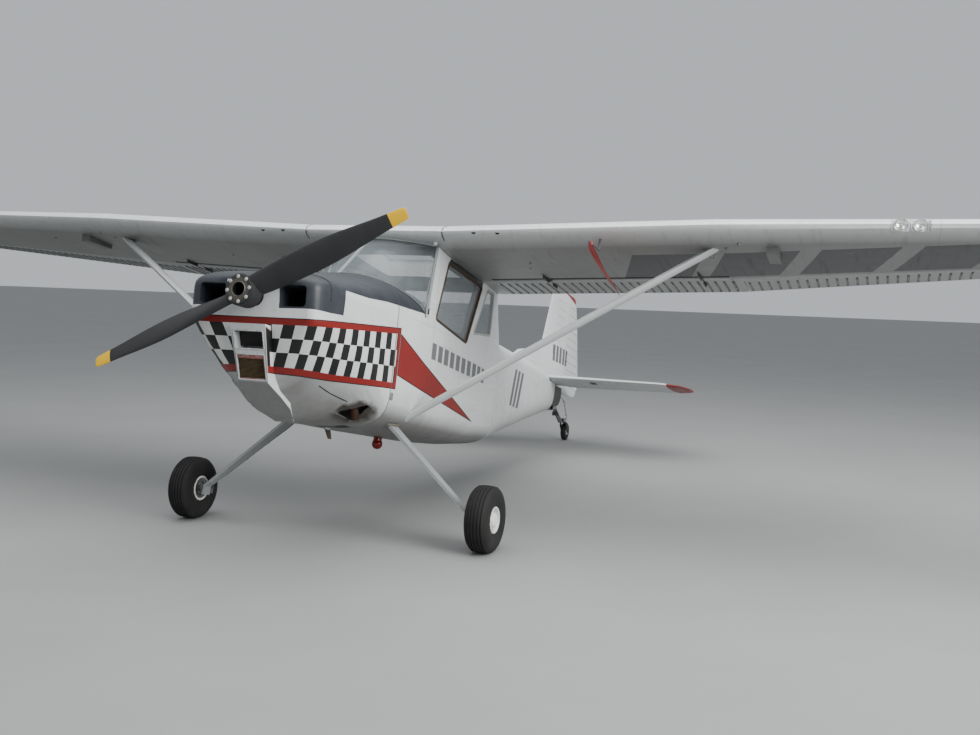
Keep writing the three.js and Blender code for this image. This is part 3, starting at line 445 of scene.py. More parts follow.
    # Lap joints and rivet rows at the frames, every 305 mm and along the stringers
    frames = rivet_rows(tree, w, s, 0.305, pitch)
    stringers = rivet_rows(tree, s, w, 0.21, pitch)
    behind = step_up(tree, s, 1.18)
    rivets = larger(tree, frames, stringers)
    rivets = times(tree, rivets, behind)
    seams = None
    for line in (1.155, 1.83, 2.44, 3.4):
        one = near_line(tree, s, line, 0.0016)
        seams = larger(tree, one, seams) if seams else one
    soot = times(tree, seams, 0.55)
    shown = over(tree, soot, shown, (0.09, 0.09, 0.08, 1))

    # Burnt oil and painted shade round the mouths of the exhaust stacks
    along = ramp(tree, s, 0.92, 1.11, 0.0, 1.0, clamp=False)
    round_mouth = ramp(tree, w, -0.638, -0.55, 0.0, 1.0, clamp=False)
    reach = add(tree, "CombineXYZ", {0: along, 1: round_mouth})
    reach = add(tree, "VectorMath", {0: reach}, operation="LENGTH").outputs["Value"]
    ragged = noise(tree, here, 14.0, 6.0)
    reach = plus(tree, reach, ragged)
    soot_and_shade = ramp(tree, reach, 1.2, 1.6, 0.93, 0.0)
    soot_and_shade = times(tree, soot_and_shade, step_up(tree, side, 0.2, 0.08))
    shown = over(tree, soot_and_shade, shown, (0.03, 0.024, 0.019, 1))
    sunk = minus(tree, 1.0, seams)
    finish_paint(tree, shader, here, shown, dirt, [(rivets, 0.0012), (sunk, 0.0012)])
    return made


def wing_enamel():
    """Semi-gloss enamel on wing skins: rivet rows, plain dark blocks under the port wing, painted shade under
    it and on its pads.
    """
    made, tree, shader = blank("wing enamel")
    if not tree:
        return made
    paint = bpy.context.scene.aircraft_paint
    pitch = bpy.context.scene.aircraft_sizes.rivet_pitch
    here, place, parts = airframe_place(tree)
    x, s, w = parts.outputs
    span = unsigned(tree, x)

    # Painted shade on the underside: light at the rounded leading edge, darker on the flat behind it
    lead = ramp(tree, span, 2.54, 5.4, 1.583, 1.839)
    lead = minus(tree, s, lead)
    dust_film_and_shade = ramp(tree, lead, 0.02, 0.24, 0.25, 0.84)
    shown, dirt = weathered_and_shaded(tree, here, place, parts, rgba(paint.white), rgba(paint.grime), -0.2, 0.4, dust_film_and_shade)
    rivets = rivet_rows(tree, s, x, 0.33, pitch)
    spars = rivet_rows(tree, x, s, 0.4, pitch)
    rivets = larger(tree, rivets, spars)
    laps = near_line(tree, s, 2.08, 0.0014)
    ribs = pingpong(tree, x, 0.66)
    laps = larger(tree, laps, near_line(tree, ribs, 0.0, 0.0012))
    soot = times(tree, laps, 0.4)
    shown = over(tree, soot, shown, SEAM_SOOT)

    # Four plain slanted blocks below, where only the underside of the skin faces down
    normal = add(tree, "SeparateXYZ", {0: add(tree, "NewGeometry").outputs["Normal"]})
    down = ramp(tree, normal.outputs[2], -0.6, -0.7, 0.0, 1.0)
    lean = times(tree, s, 0.3)
    run = plus(tree, x, lean)
    run = minus(tree, run, 2.5)
    cell = remainder(tree, run, 0.66)
    block = less(tree, cell, 0.52)
    first = more(tree, run, 0.0)
    last = less(tree, run, 2.6)
    front = more(tree, s, 2.0)
    rear = less(tree, s, 2.66)
    blocks = down
    for part in (block, first, last, front, rear):
        blocks = times(tree, blocks, part)
    faded = times(tree, blocks, 0.9)
    shown = over(tree, faded, shown, (0.035, 0.038, 0.042, 1))

    # Less painted shade on the undersides of the flaps and ailerons
    flap_shade_lifted = times(tree, down, step_up(tree, s, 2.72))
    flap_shade_lifted = times(tree, flap_shade_lifted, 0.3)
    shown = over(tree, flap_shade_lifted, shown, rgba(paint.white))
    # Painted shade: the underside of the cabin roof, inboard of the wing roots, is near black
    within = less(tree, span, 0.455)
    roof_shade = times(tree, within, down)
    roof_shade = times(tree, roof_shade, step_up(tree, s, 1.76))
    shown = over(tree, roof_shade, shown, (0.045, 0.047, 0.045, 1))

    # Painted shade on the stores pads and on the brackets that carry the flaps, as dark as the shaded skin
    # that they hang from
    pads = less(tree, w, 0.8)
    for part in (near_line(tree, span, 2.9, 0.041), near_line(tree, s, 2.04, 0.151)):
        pads = times(tree, pads, part)
    shaded_flap_arms = larger(tree, near_line(tree, span, 1.07, 0.007), near_line(tree, span, 2.296, 0.007))
    for part in (ramp(tree, normal.outputs[2], 0.3, 0.2, 0.0, 1.0), near_line(tree, s, 2.71, 0.23)):
        shaded_flap_arms = times(tree, shaded_flap_arms, part)
    shown = over(tree, pads, shown, (0.13, 0.133, 0.13, 1))
    shown = over(tree, shaded_flap_arms, shown, (0.03, 0.03, 0.028, 1))
    sunk = minus(tree, 1.0, laps)
    finish_paint(tree, shader, here, shown, dirt, [(rivets, 0.0012), (sunk, 0.001)])
    return made


def tail_enamel():
    """Semi-gloss enamel on the tail: red tips and a red line over the top of the fin."""
    made, tree, shader = blank("tail enamel")
    if not tree:
        return made
    paint = bpy.context.scene.aircraft_paint
    pitch = bpy.context.scene.aircraft_sizes.rivet_pitch
    here, place, parts = airframe_place(tree)
    x, s, w = parts.outputs
    side = unsigned(tree, x)
    shown, dirt = weathered_and_shaded(tree, here, place, parts, rgba(paint.white), rgba(paint.grime), -0.5, 0.1, 0.3)
    tips = step_up(tree, side, 1.423)
    shown = over(tree, tips, shown, rgba(paint.red))
    slope = times(tree, s, 0.1)
    slope = plus(tree, w, slope)
    shown = over(tree, step_up(tree, slope, 1.962), shown, rgba(paint.red))

    # Black plug in the leading edge of the tail plane, port side only
    plug = near_line(tree, x, 0.605, 0.034, 0.004)
    plug = times(tree, plug, near_line(tree, s, 6.11, 0.07, 0.004))
    plug = times(tree, plug, near_line(tree, w, 0.2, 0.08))
    shown = over(tree, plug, shown, (0.012, 0.012, 0.012, 1))

    # Open end of the tail cone, in shade and oily
    end = minus(tree, 0.165, w)
    end = times(tree, step_up(tree, end, 0.0), step_up(tree, s, 6.31, 0.03))
    fore = less(tree, s, 6.79)
    end = times(tree, end, fore)
    end = times(tree, end, 0.96)
    shown = over(tree, end, shown, (0.02, 0.017, 0.015, 1))

    # Three slanted bars on the cone's side, and five upright blocks on fin and rudder
    aslant = minus(tree, plus(tree, times(tree, w, -0.4), s), 4.15)
    bars = row_of_bars(tree, aslant, 0.15, 0.095, 0.4, w, -0.1, 0.18)
    blocks = row_of_bars(tree, minus(tree, s, 6.335), 0.13, 0.09, 0.64, w, 0.535, 0.095)
    marks = larger(tree, bars, blocks)
    marks = times(tree, marks, 0.86)
    shown = over(tree, marks, shown, MARK_GREY)
    rivets = rivet_rows(tree, w, s, 0.34, pitch)
    rows = rivet_rows(tree, s, w, 0.28, pitch)
    rivets = larger(tree, rivets, rows)
    hoops = pingpong(tree, s, 0.44)
    laps = near_line(tree, hoops, 0.0, 0.0014)
    soot = times(tree, laps, 0.4)
    shown = over(tree, soot, shown, SEAM_SOOT)
    finish_paint(tree, shader, here, shown, dirt, [(rivets, 0.0012)])
    return made


def plain_enamel(name, code, gloss=0.45, chip="8C8F90", share=0.62, cover=0.5):
    """Brushed or sprayed enamel on a fitting, chipped to bare metal at its edges and dusty in patches."""
    made, tree, shader = blank(name)
    if not tree:
        return made
    here = add(tree, "TexCoord").outputs["Object"]
    cloud = noise(tree, here, 9.0, 8.0, 0.7)
    fade = ramp(tree, cloud, 0.4, 0.75, 0.0, cover)
    base = rgba(srgb(code))
    shown = over(tree, fade, base, tuple(0.75 * c + 0.08 for c in base[:3]) + (1,))
    edge = add(tree, "NewGeometry").outputs["Pointiness"]
    rough = noise(tree, here, 60.0, 6.0, 0.7)
    edge = plus(tree, edge, times(tree, rough, 0.12))
    chips = ramp(tree, edge, share, share + 0.02, 0.0, 1.0)
    shown = over(tree, chips, shown, rgba(srgb(chip)))
    matt = ramp(tree, cloud, 0.3, 0.7, gloss, gloss + 0.2)
    grain = bump(tree, rough, 0.15, 0.001)
    feed(tree, shader, {"Base Color": shown, "Roughness": matt, "Normal": grain})
    return made


def bare_metal(name, code, rough=0.35, grain=(4.0, 160.0, 160.0), stain="4A4239"):
    """Rolled or machined metal: fine drawn lines, fingermarks and a little brown staining."""
    made, tree, shader = blank(name)
    if not tree:
        return made
    here = add(tree, "TexCoord").outputs["Object"]
    lines = noise(tree, add(tree, "Mapping", {"Vector": here, "Scale": grain}), 4.0, 4.0)
    marks = noise(tree, here, 14.0, 7.0, 0.65)
    dirt = ramp(tree, marks, 0.5, 0.8, 0.0, 0.8)
    shown = over(tree, dirt, rgba(srgb(code)), rgba(srgb(stain)))
    shine = ramp(tree, marks, 0.3, 0.8, rough, rough + 0.3)
    metal = ramp(tree, dirt, 0.2, 0.8, 1.0, 0.4)
    drawn = bump(tree, lines, 0.12, 0.0005)
    feed(tree, shader, {"Base Color": shown, "Roughness": shine, "Metallic": metal, "Normal": drawn})
    return made


def soft_black(name, code, rough=0.8, grain=90.0, rise=0.0008, dust="5C574C", cover=0.4):
    """Rubber, moulded plastic or matt lacquer: a fine grain with pale dust settled on it."""
    made, tree, shader = blank(name)
    if not tree:
        return made
    here = add(tree, "TexCoord").outputs["Object"]
    cloud = noise(tree, here, 6.0, 9.0, 0.7)
    settled = ramp(tree, cloud, 0.45, 0.8, 0.0, cover)
    shown = over(tree, settled, rgba(srgb(code)), rgba(srgb(dust)))
    dull = ramp(tree, cloud, 0.3, 0.7, rough - 0.12, rough + 0.08)
    fine = bump(tree, noise(tree, here, grain, 5.0, 0.6), 0.4, rise)
    feed(tree, shader, {"Base Color": shown, "Roughness": dull, "Normal": fine})
    return made


def clear_acrylic(name, tint="8F989B", body=0.07, haze=0.1, edge=0.42):
    """Acrylic glazing: clear face on, milky with dust and fine rub marks, denser grey at grazing angles as a
    painted reflection.
    """
    made, tree, shader = blank(name)
    if not tree:
        return made
    here = add(tree, "TexCoord").outputs["Object"]
    dust = noise(tree, here, 3.5, 9.0, 0.7)
    wipes = noise(tree, add(tree, "Mapping", {"Vector": here, "Scale": (3, 40, 12)}), 3.0, 5.0)
    dust_film_and_shade = times(tree, dust, wipes)
    dust_film_and_shade = ramp(tree, dust_film_and_shade, 0.18, 0.42, 0.0, haze)
    # Greyer and more opaque at grazing angles: a painted reflection
    facing = add(tree, "LayerWeight", {"Blend": 0.35}).outputs["Facing"]
    cover_and_reflection = ramp(tree, facing, 0.15, 0.95, body, max(body, edge))
    cover_and_reflection = add(tree, "Math", {0: cover_and_reflection, 1: dust_film_and_shade}, operation="ADD", use_clamp=True)
    cloudy = ramp(tree, dust_film_and_shade, 0.0, haze, 0.04, 0.22)
    feed(tree, shader, {"Base Color": rgba(srgb(tint)), "Roughness": cloudy, "IOR": 1.49, "Alpha": cover_and_reflection})
    return made


def blade_lacquer():
    """Matt charcoal lacquer on a forged blade: yellow tips and a leading edge scoured to the metal."""
    made, tree, shader = blank("blade lacquer")
    if not tree:
        return made
    paint = bpy.context.scene.aircraft_paint
    here, _, parts = airframe_place(tree)
    flat = add(tree, "CombineXYZ", {0: parts.outputs[0], 1: parts.outputs[2]})
    radius = add(tree, "VectorMath", {0: flat}, operation="LENGTH").outputs["Value"]
    cloud = noise(tree, here, 5.0, 8.0, 0.65)
    fade = ramp(tree, cloud, 0.4, 0.75, 0.0, 0.35)
    shown = over(tree, fade, rgba(paint.blade), (0.045, 0.046, 0.047, 1))
    tip = step_up(tree, radius, 1.028, 0.002)
    bright = over(tree, fade, rgba(paint.yellow), (0.5, 0.34, 0.02, 1))
    shown = over(tree, tip, shown, bright)
    turn = add(tree, "Mapping", {"Vector": flat, "Rotation": (0, 0, -BLADE_TURN)})
    across = add(tree, "SeparateXYZ", {0: turn})
    product = times(tree, across.outputs[0], across.outputs[1])
    leading = ratio(tree, product, radius)
    half = ramp(tree, radius, 0.56, 1.14, 0.077, 0.031)
    reach = minus(tree, leading, half)
    gnawed = noise(tree, here, 34.0, 7.0, 0.75)
    gnawed = ramp(tree, gnawed, 0.45, 0.8, -0.006, 0.007)
    scour = plus(tree, reach, gnawed)
    outer = ramp(tree, radius, 0.5, 0.9, 0.0, 1.0)
    scour = times(tree, step_up(tree, scour, 0.004, 0.001), outer)
    shown = over(tree, scour, shown, rgba(srgb("8D8F91")))
    dull = ramp(tree, cloud, 0.3, 0.7, 0.6, 0.78)
    grit = bump(tree, noise(tree, here, 260.0, 3.0), 0.12, 0.0005)
    feed(tree, shader, {"Base Color": shown, "Roughness": dull, "Normal": grit})
    return made


def hub_plate_metal():
    """Turned plate under dark lacquer that spanners have scuffed to brown metal inside the ring of bolts."""
    made, tree, shader = blank("scuffed hub plate")
    if not tree:
        return made
    here, _, parts = airframe_place(tree)
    flat = add(tree, "CombineXYZ", {0: parts.outputs[0], 1: parts.outputs[2]})
    radius = add(tree, "VectorMath", {0: flat}, operation="LENGTH").outputs["Value"]
    rub = noise(tree, here, 55.0, 7.0, 0.72)
    inner = ramp(tree, radius, 0.05, 0.086, 0.35, -0.15)
    worn = plus(tree, rub, inner)
    worn = ramp(tree, worn, 0.55, 0.7, 0.0, 0.75)
    shown = over(tree, worn, rgba(srgb("27292A")), rgba(srgb("6A635A")))
    metal = ramp(tree, worn, 0.2, 0.9, 0.0, 0.8)
    dull = ramp(tree, rub, 0.3, 0.7, 0.38, 0.6)
    rings = bump(tree, pingpong(tree, radius, 0.0012), 0.2, 0.0004)
    feed(tree, shader, {"Base Color": shown, "Metallic": metal, "Roughness": dull, "Normal": rings})
    return made


def tyre_rubber():
    """Worn tyre rubber: dust-grey tread, darker side walls with fine cracks, moulded rings at the rim."""
    made, tree, shader = blank("tyre rubber")
    if not tree:
        return made
    here = add(tree, "TexCoord").outputs["Object"]
    cloud = noise(tree, here, 7.0, 9.0, 0.7)
    dust = ramp(tree, cloud, 0.45, 0.8, 0.0, 0.34)
    shown = over(tree, dust, rgba(srgb("0C0C0C")), rgba(srgb("47433A")))
    cracks = add(tree, "TexVoronoi", {"Vector": here, "Scale": 120.0}, feature="DISTANCE_TO_EDGE")
    dull = ramp(tree, cloud, 0.3, 0.7, 0.7, 0.92)
    fine = bump(tree, ramp(tree, cracks, 0.0, 0.08, 0.0, 1.0), 0.25, 0.0006)
    feed(tree, shader, {"Base Color": shown, "Roughness": dull, "Normal": fine})
    return made


def nylon_webbing():
    """Red woven webbing with a diagonal thread, faded in patches."""
    made, tree, shader = blank("red nylon webbing")
    if not tree:
        return made
    here = add(tree, "TexCoord").outputs["Object"]
    weave = {"Vector": here, "Scale": 260.0, "Distortion": 0.4}
    threads = add(tree, "TexWave", weave, bands_direction="DIAGONAL")
    fade = ramp(tree, noise(tree, here, 16.0, 6.0), 0.4, 0.7, 0.0, 0.6)
    shown = over(tree, fade, rgba(srgb("A52219")), rgba(srgb("7E2A20")))
    feed(tree, shader, {"Base Color": shown, "Roughness": 0.82, "Sheen Weight": 0.25,
                        "Normal": bump(tree, threads, 0.35, 0.0006)})
    return made


# Finishes that several pieces share


def gasket_rubber():
    return soft_black("gasket rubber", "1A1A1A", 0.75, 160.0)


def fastener_steel():
    return bare_metal("fastener steel", "8E8F8F", 0.4, (90, 90, 90))


def trim_enamel():
    return plain_enamel("trim enamel", "C4C7C6", 0.42, cover=0.3)


def wheel_enamel():
    return plain_enamel("wheel enamel", "D2D3CE", 0.4, cover=0.3)


def fork_enamel():
    return plain_enamel("fork enamel", "33302D", 0.5, "6B6257", 0.68, 0.4)


# Shapes


def sweep(bm, profile, stops, closed=False, caps=True, ring=False):
    """Draws a small profile along a line of frames by extruding it from each frame to the next."""
    verts = [bm.verts.new(stops[0] @ Vector((a, b, 0))) for a, b in profile]
    pairs = list(zip(verts, verts[1:])) + ([(verts[-1], verts[0])] if closed else [])
    edges = [bm.edges.new(pair) for pair in pairs]
    if caps and closed and not ring:
        bm.faces.new(verts)
    for before, after in zip(stops, stops[1:] + ([stops[0]] if ring else [])):
        made = bmesh.ops.extrude_edge_only(bm, edges=edges)["geom"]
        verts = [v for v in made if isinstance(v, bmesh.types.BMVert)]
        edges = [e for e in made if isinstance(e, bmesh.types.BMEdge)]
        bmesh.ops.transform(bm, matrix=after @ before.inverted(), verts=verts, space=Matrix())
    if ring:
        bmesh.ops.remove_doubles(bm, verts=bm.verts, dist=1e-6)
    elif caps and closed:
        bmesh.ops.contextual_create(bm, geom=edges)


def frame_at(point, along, up):
    """A frame with its third axis along a line and its second nearest to up."""
    z = Vector(along).normalized()
    x = Vector(up).cross(z).normalized()
    y = z.cross(x)
    turned = Matrix((x, y, z)).transposed().to_4x4()
    turned.translation = point
    return turned


def stops_along(points, ups, ring=False):
    """Frames at the points of a line, each looking along it."""
    n = len(points)
    made = []
    for i, point in enumerate(points):
        before = points[i - 1] if i or ring else points[0]
        after = points[(i + 1) % n] if i < n - 1 or ring else points[-1]
        up = ups[i] if isinstance(ups, list) else ups
        made.append(frame_at(point, after - before, up))
    return made


def ring_of(count, radius, start=0.0):
    """Places evenly round a circle, as pairs of across and up."""
    angles = [start + 2 * math.pi * i / count for i in range(count)]
    return [(radius * math.cos(a), radius * math.sin(a)) for a in angles]


def tube(bm, points, radius, up=(0, 0, 1), sides=10):
    """A round tube through the points."""
    sweep(bm, ring_of(sides, radius), stops_along([Vector(p) for p in points], Vector(up)), closed=True)


def hoop(bm, points, out, radius):
    """A round cord in a closed loop through the points, which lie on a face that looks out."""
    sweep(bm, ring_of(8, radius), stops_along(points, out, True), closed=True, ring=True)


def through(a, b, c, d, t):
    """A smooth curve between b and c, with a and d as its neighbours."""
    return 0.5 * (2 * b + (c - a) * t + (2 * a - 5 * b + 4 * c - d) * t**2 + (3 * b - a - 3 * c + d) * t**3)


def smooth_line(points, steps=6):
    """The points with a rounded line between them."""
    pts = [Vector(p) for p in points]
    made = []
    for i in range(len(pts) - 1):
        a, b, c, d = (pts[max(0, min(len(pts) - 1, i + k))] for k in (-1, 0, 1, 2))
        made += [through(a, b, c, d, j / steps) for j in range(steps)]
    return made + [pts[-1]]


def turned(bm, profile, centre, axis, steps=64):
    """Spins a profile of (along, radius) steps round an axis, in metres."""
    axis = Vector(axis).normalized()
    out = axis.orthogonal().normalized()
    verts = [bm.verts.new(Vector(centre) + axis * a + out * r) for a, r in profile]
    edges = [bm.edges.new(pair) for pair in zip(verts, verts[1:])]
    bmesh.ops.spin(bm, geom=verts + edges, cent=centre, axis=axis, angle=2 * math.pi, steps=steps,
                   use_merge=True, use_duplicate=False)
    bmesh.ops.remove_doubles(bm, verts=bm.verts, dist=1e-6)


def boxed(bm, low, high, matrix=None, bevel=0.0, segments=2):
    """A box between two corners with rounded edges."""
    size = Vector(high) - Vector(low)
    middle = (Vector(high) + Vector(low)) / 2
    made = bmesh.ops.create_cube(bm, size=1.0)["verts"]
    bmesh.ops.transform(bm, matrix=Matrix.Translation(middle) @ Matrix.Diagonal((*size, 1)), verts=made)
    if bevel:
        edges = list({e for v in made for e in v.link_edges})
        made = bmesh.ops.bevel(bm, geom=edges, offset=bevel, offset_type="OFFSET", segments=segments,
                               profile=0.5, affect="EDGES", material=-1)["verts"]
        made = list({v for v in made if v.is_valid})
    if matrix is not None:
        bmesh.ops.transform(bm, matrix=matrix, verts=made)


def piece(name, bm, finish, body="airframe", sharp=38, stands_for=()):
    """Closes a shape into a finished object that rides on a body."""
    bmesh.ops.recalc_face_normals(bm, faces=bm.faces)
    mesh = bpy.data.meshes.new(name)
    bm.to_mesh(mesh)
    bm.free()
    mesh.polygons.foreach_set("use_smooth", [True] * len(mesh.polygons))
    mesh.set_sharp_from_angle(angle=math.radians(sharp))
    made = bpy.data.objects.new(name, mesh)
    bpy.context.scene.collection.objects.link(made)
    for one in finish if isinstance(finish, (list, tuple)) else [finish]:
        mesh.materials.append(one)
    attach(made, body)
    if stands_for:
        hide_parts(*stands_for)
    return made


def skin(*names):
    """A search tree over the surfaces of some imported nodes."""
    verts, faces = [], []
    for name in names:
        mesh = frame["nodes"][name].data
        base = len(verts)
        verts += [v.co.copy() for v in mesh.vertices]
        faces += [[base + i for i in p.vertices] for p in mesh.polygons]
    return BVHTree.FromPolygons(verts, faces)


def meets(tree, point, direction, reach=2.0):
    """Where a ray from a point meets a skin, with the outward normal."""
    place, normal, _, _ = tree.ray_cast(Vector(point), Vector(direction).normalized(), reach)
    if place is None:
        return None
    return place, normal if normal.dot(Vector(direction)) < 0 else -normal


BEAD = [(-1, -0.25), (-0.72, 0.35), (-0.3, 0.9), (0.3, 0.9), (0.72, 0.35), (1, -0.25)]


def bead(bm, tree, points, direction, half, rise, ring=False, profile=BEAD):
    """A raised strip laid on a skin below a line of points, seen along one direction or one for each."""
    ways = direction if isinstance(direction, list) else [direction] * len(points)
    found = [hit for hit in (meets(tree, p, way) for p, way in zip(points, ways)) if hit]
    if len(found) < 2:
        return
    places = [place for place, _ in found]
    normals = [normal for _, normal in found]
    shape = [(a * half, b * rise) for a, b in profile]
    sweep(bm, shape, stops_along(places, normals, ring), closed=True, ring=ring)


def rounded(corners, radius, steps=4):
    """A closed outline of two-part places with its corners rounded."""
    made = []
    for i, corner in enumerate(corners):
        here, before, after = Vector(corner), Vector(corners[i - 1]), Vector(corners[(i + 1) % len(corners)])
        a = here + (before - here).normalized() * radius
        b = here + (after - here).normalized() * radius
        for k in range(steps + 1):
            t = k / steps
            made.append((1 - t) ** 2 * a + 2 * t * (1 - t) * here + t * t * b)
    return made


def oblong(a, b, radius, steps=4):
    """A rectangle that reaches a and b on either side of its middle, its corners rounded."""
    return rounded([(-a, -b), (a, -b), (a, b), (-a, b)], radius, steps)


def plate(bm, points, out, thick, bevel=0.0):
    """A flat plate with that outline, its outer edge eased."""
    face = bm.faces.new([bm.verts.new(p) for p in points])
    made = bmesh.ops.extrude_face_region(bm, geom=[face])["geom"]
    top = [v for v in made if isinstance(v, bmesh.types.BMVert)]
    lid = next(f for f in made if isinstance(f, bmesh.types.BMFace))
    bmesh.ops.translate(bm, vec=Vector(out).normalized() * thick, verts=top)
    if bevel:
        bmesh.ops.bevel(bm, geom=list(lid.edges), offset=bevel, offset_type="OFFSET", segments=2,
                        profile=0.5, affect="EDGES", material=-1)


def coil(bm, start, end, radius, turns, wire):
    """A close-wound spring between two points."""
    here = frame_at(start, end - start, (1, 0, 0))
    places = ring_of(8, radius) * turns + [(radius, 0.0)]
    step = (end - start).length / (turns * 8)
    points = [here @ Vector((a, b, step * i)) for i, (a, b) in enumerate(places)]
    tube(bm, points, wire, end - start, 6)


def stud(bm, tree, place, direction, radius, height):
    """A low domed button on a skin."""
    hit = meets(tree, place, direction)
    if hit:
        dome = [(-0.002, radius), (height * 0.45, radius * 0.96), (height * 0.8, radius * 0.7),
                (height, radius * 0.3), (height * 1.02, 0.0)]
        turned(bm, dome, hit[0], hit[1], 20)


def wall(s):
    """Half width of the cabin's flat side at a station, in mm."""
    return 482 - (s - 1690) / 272.5 if s < 2780 else 478 - (s - 2780) / 15.5


def wing_front(x):
    """Station of the outer wing's leading edge, in mm."""
    return 1583 + (x - 2540) * 0.0894


def level_frame(x, s, w, lean=0.0):
    """A frame in metres at a place on the airframe, its axes to port, aft and up, leaning back."""
    turn = Matrix.Rotation(-PITCH, 4, "X") @ Matrix.Rotation(-lean, 4, "X")
    return Matrix.Translation(at(x, s, w)) @ turn


def eased(rows, key):
    """A row of a table read between its rows, on a smooth curve through them."""
    i = max(1, next((k for k, row in enumerate(rows) if row[0] >= key), len(rows) - 1))
    near = [rows[max(0, min(len(rows) - 1, i + k))] for k in (-2, -1, 0, 1)]
    t = (key - near[1][0]) / (near[2][0] - near[1][0])
    return [through(a, b, c, d, t) for a, b, c, d in zip(*near)]


def bolt(bm, place, axis, size, height, sides=6):
    """A bolt head or nut with a chamfered top, standing on a face."""
    ring = bmesh.ops.create_circle(bm, cap_ends=True, segments=sides, radius=size)["verts"]
    made = bmesh.ops.extrude_face_region(bm, geom=[ring[0].link_faces[0]])["geom"]
    top = [v for v in made if isinstance(v, bmesh.types.BMVert)]
    lid = next(f for f in made if isinstance(f, bmesh.types.BMFace))
    bmesh.ops.translate(bm, vec=(0, 0, height), verts=top)
    bmesh.ops.inset_individual(bm, faces=[lid], thickness=size * 0.16, depth=size * 0.07)
    here = frame_at(Vector(place), Vector(axis), Vector(axis).orthogonal())
    bmesh.ops.transform(bm, matrix=here, verts=list({*ring, *top, *lid.verts}))


SHADE_GROUP = "joined smooth skin"


def shading_group():
    """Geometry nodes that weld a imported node's loose triangles and smooth all but its real edges."""
    if SHADE_GROUP in bpy.data.node_groups:
        return bpy.data.node_groups[SHADE_GROUP]
    tree = bpy.data.node_groups.new(SHADE_GROUP, "GeometryNodeTree")
    tree.interface.new_socket("Geometry", in_out="INPUT", socket_type="NodeSocketGeometry")
    tree.interface.new_socket("Geometry", in_out="OUTPUT", socket_type="NodeSocketGeometry")
    start, end = tree.nodes.new("NodeGroupInput"), tree.nodes.new("NodeGroupOutput")
    weld = tree.nodes.new("GeometryNodeMergeByDistance")
    weld.inputs["Distance"].default_value = 2e-5
    angle = tree.nodes.new("GeometryNodeInputMeshEdgeAngle")
    bend = tree.nodes.new("FunctionNodeCompare")
    bend.data_type, bend.operation = "FLOAT", "GREATER_THAN"
    bend.inputs[1].default_value = math.radians(38)
    faces = tree.nodes.new("GeometryNodeSetShadeSmooth")
    edges = tree.nodes.new("GeometryNodeSetShadeSmooth")
    edges.domain = "EDGE"
    edges.inputs["Shade Smooth"].default_value = False
    link = tree.links.new
    link(start.outputs[0], weld.inputs["Geometry"])
    link(weld.outputs[0], faces.inputs["Geometry"])
    link(faces.outputs[0], edges.inputs["Geometry"])
    link(angle.outputs["Unsigned Angle"], bend.inputs[0])
    link(bend.outputs[0], edges.inputs["Selection"])
    link(edges.outputs[0], end.inputs[0])
    return tree


def dress(names, finish):
    """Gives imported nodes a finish, welded and smoothed as one skin."""
    for name in names:
        node = frame["nodes"][name]
        node.data.materials.clear()
        node.data.materials.append(finish)
        weld = node.modifiers.new("Joined skin", "NODES")
        weld.node_group = shading_group()
        even = node.modifiers.new("Even shading", "WEIGHTED_NORMAL")
        even.keep_sharp = True


# Stage


class AIRCRAFT_OT_stage(bpy.types.Operator):
    """Lay the plain floor, the soft light and the camera."""

    bl_idname = "aircraft.stage"
    bl_label = "Stage"

    def execute(self, context):
        stage = context.scene.aircraft_stage
        bm = bmesh.new()
        bmesh.ops.create_grid(bm, x_segments=2, y_segments=2, size=120.0)
        mesh = bpy.data.meshes.new("floor")
        bm.to_mesh(mesh)
        bm.free()
        floor = bpy.data.objects.new("floor", mesh)
        context.scene.collection.objects.link(floor)
        made, tree, shader = blank("sealed concrete")
        here = add(tree, "TexCoord").outputs["Object"]
        cloud = noise(tree, here, 0.7, 8.0, 0.6)
        tint = ramp(tree, cloud, 0.3, 0.7, 0.0, 1.0)
        shown = over(tree, tint, rgba([0.92 * c for c in stage.floor]), rgba(stage.floor))
        feed(tree, shader, {"Base Color": shown, "Roughness": 0.85})
        mesh.materials.append(made)

        world = bpy.data.worlds.new("overcast")
        context.scene.world = world
        world.use_nodes = True
        sky = world.node_tree.nodes["Background"]
        sky.inputs["Color"].default_value = rgba(stage.sky)
        sky.inputs["Strength"].default_value = 0.7
        for name, place, size, power in (
            ("overhead", (1.0, -2.0, 9.0), 14.0, 1100.0),
            ("port", (11.0, -6.0, 6.0), 8.0, 1700.0),
        ):
            lamp = bpy.data.lights.new(name, "AREA")
            lamp.shape, lamp.size, lamp.energy = "DISK", size, power
            held = bpy.data.objects.new(name, lamp)
            context.scene.collection.objects.link(held)
            held.location = place
            aim = Vector((0.0, -0.5, 1.0)) - Vector(place)
            held.rotation_euler = aim.to_track_quat("-Z", "Y").to_euler()

        lens = bpy.data.cameras.new("camera")
        lens.sensor_fit, lens.sensor_width, lens.lens = "HORIZONTAL", 36.0, stage.lens
        lens.clip_end = 400.0
        camera = bpy.data.objects.new("camera", lens)
        context.scene.collection.objects.link(camera)
        cy, sy = math.cos(stage.yaw), math.sin(stage.yaw)
        cp, sp = math.cos(stage.tilt), math.sin(stage.tilt)
        ahead = Vector((-sy * cp, cy * cp, sp))
        right = Vector((cy, sy, 0))
        up = right.cross(ahead)
        cr, sr = math.cos(stage.roll), math.sin(stage.roll)
        axes = Matrix((right * cr + up * sr, -right * sr + up * cr, -ahead)).transposed().to_4x4()
        axes.translation = stage.camera
        camera.matrix_world = axes
        context.scene.camera = camera
        return {"FINISHED"}


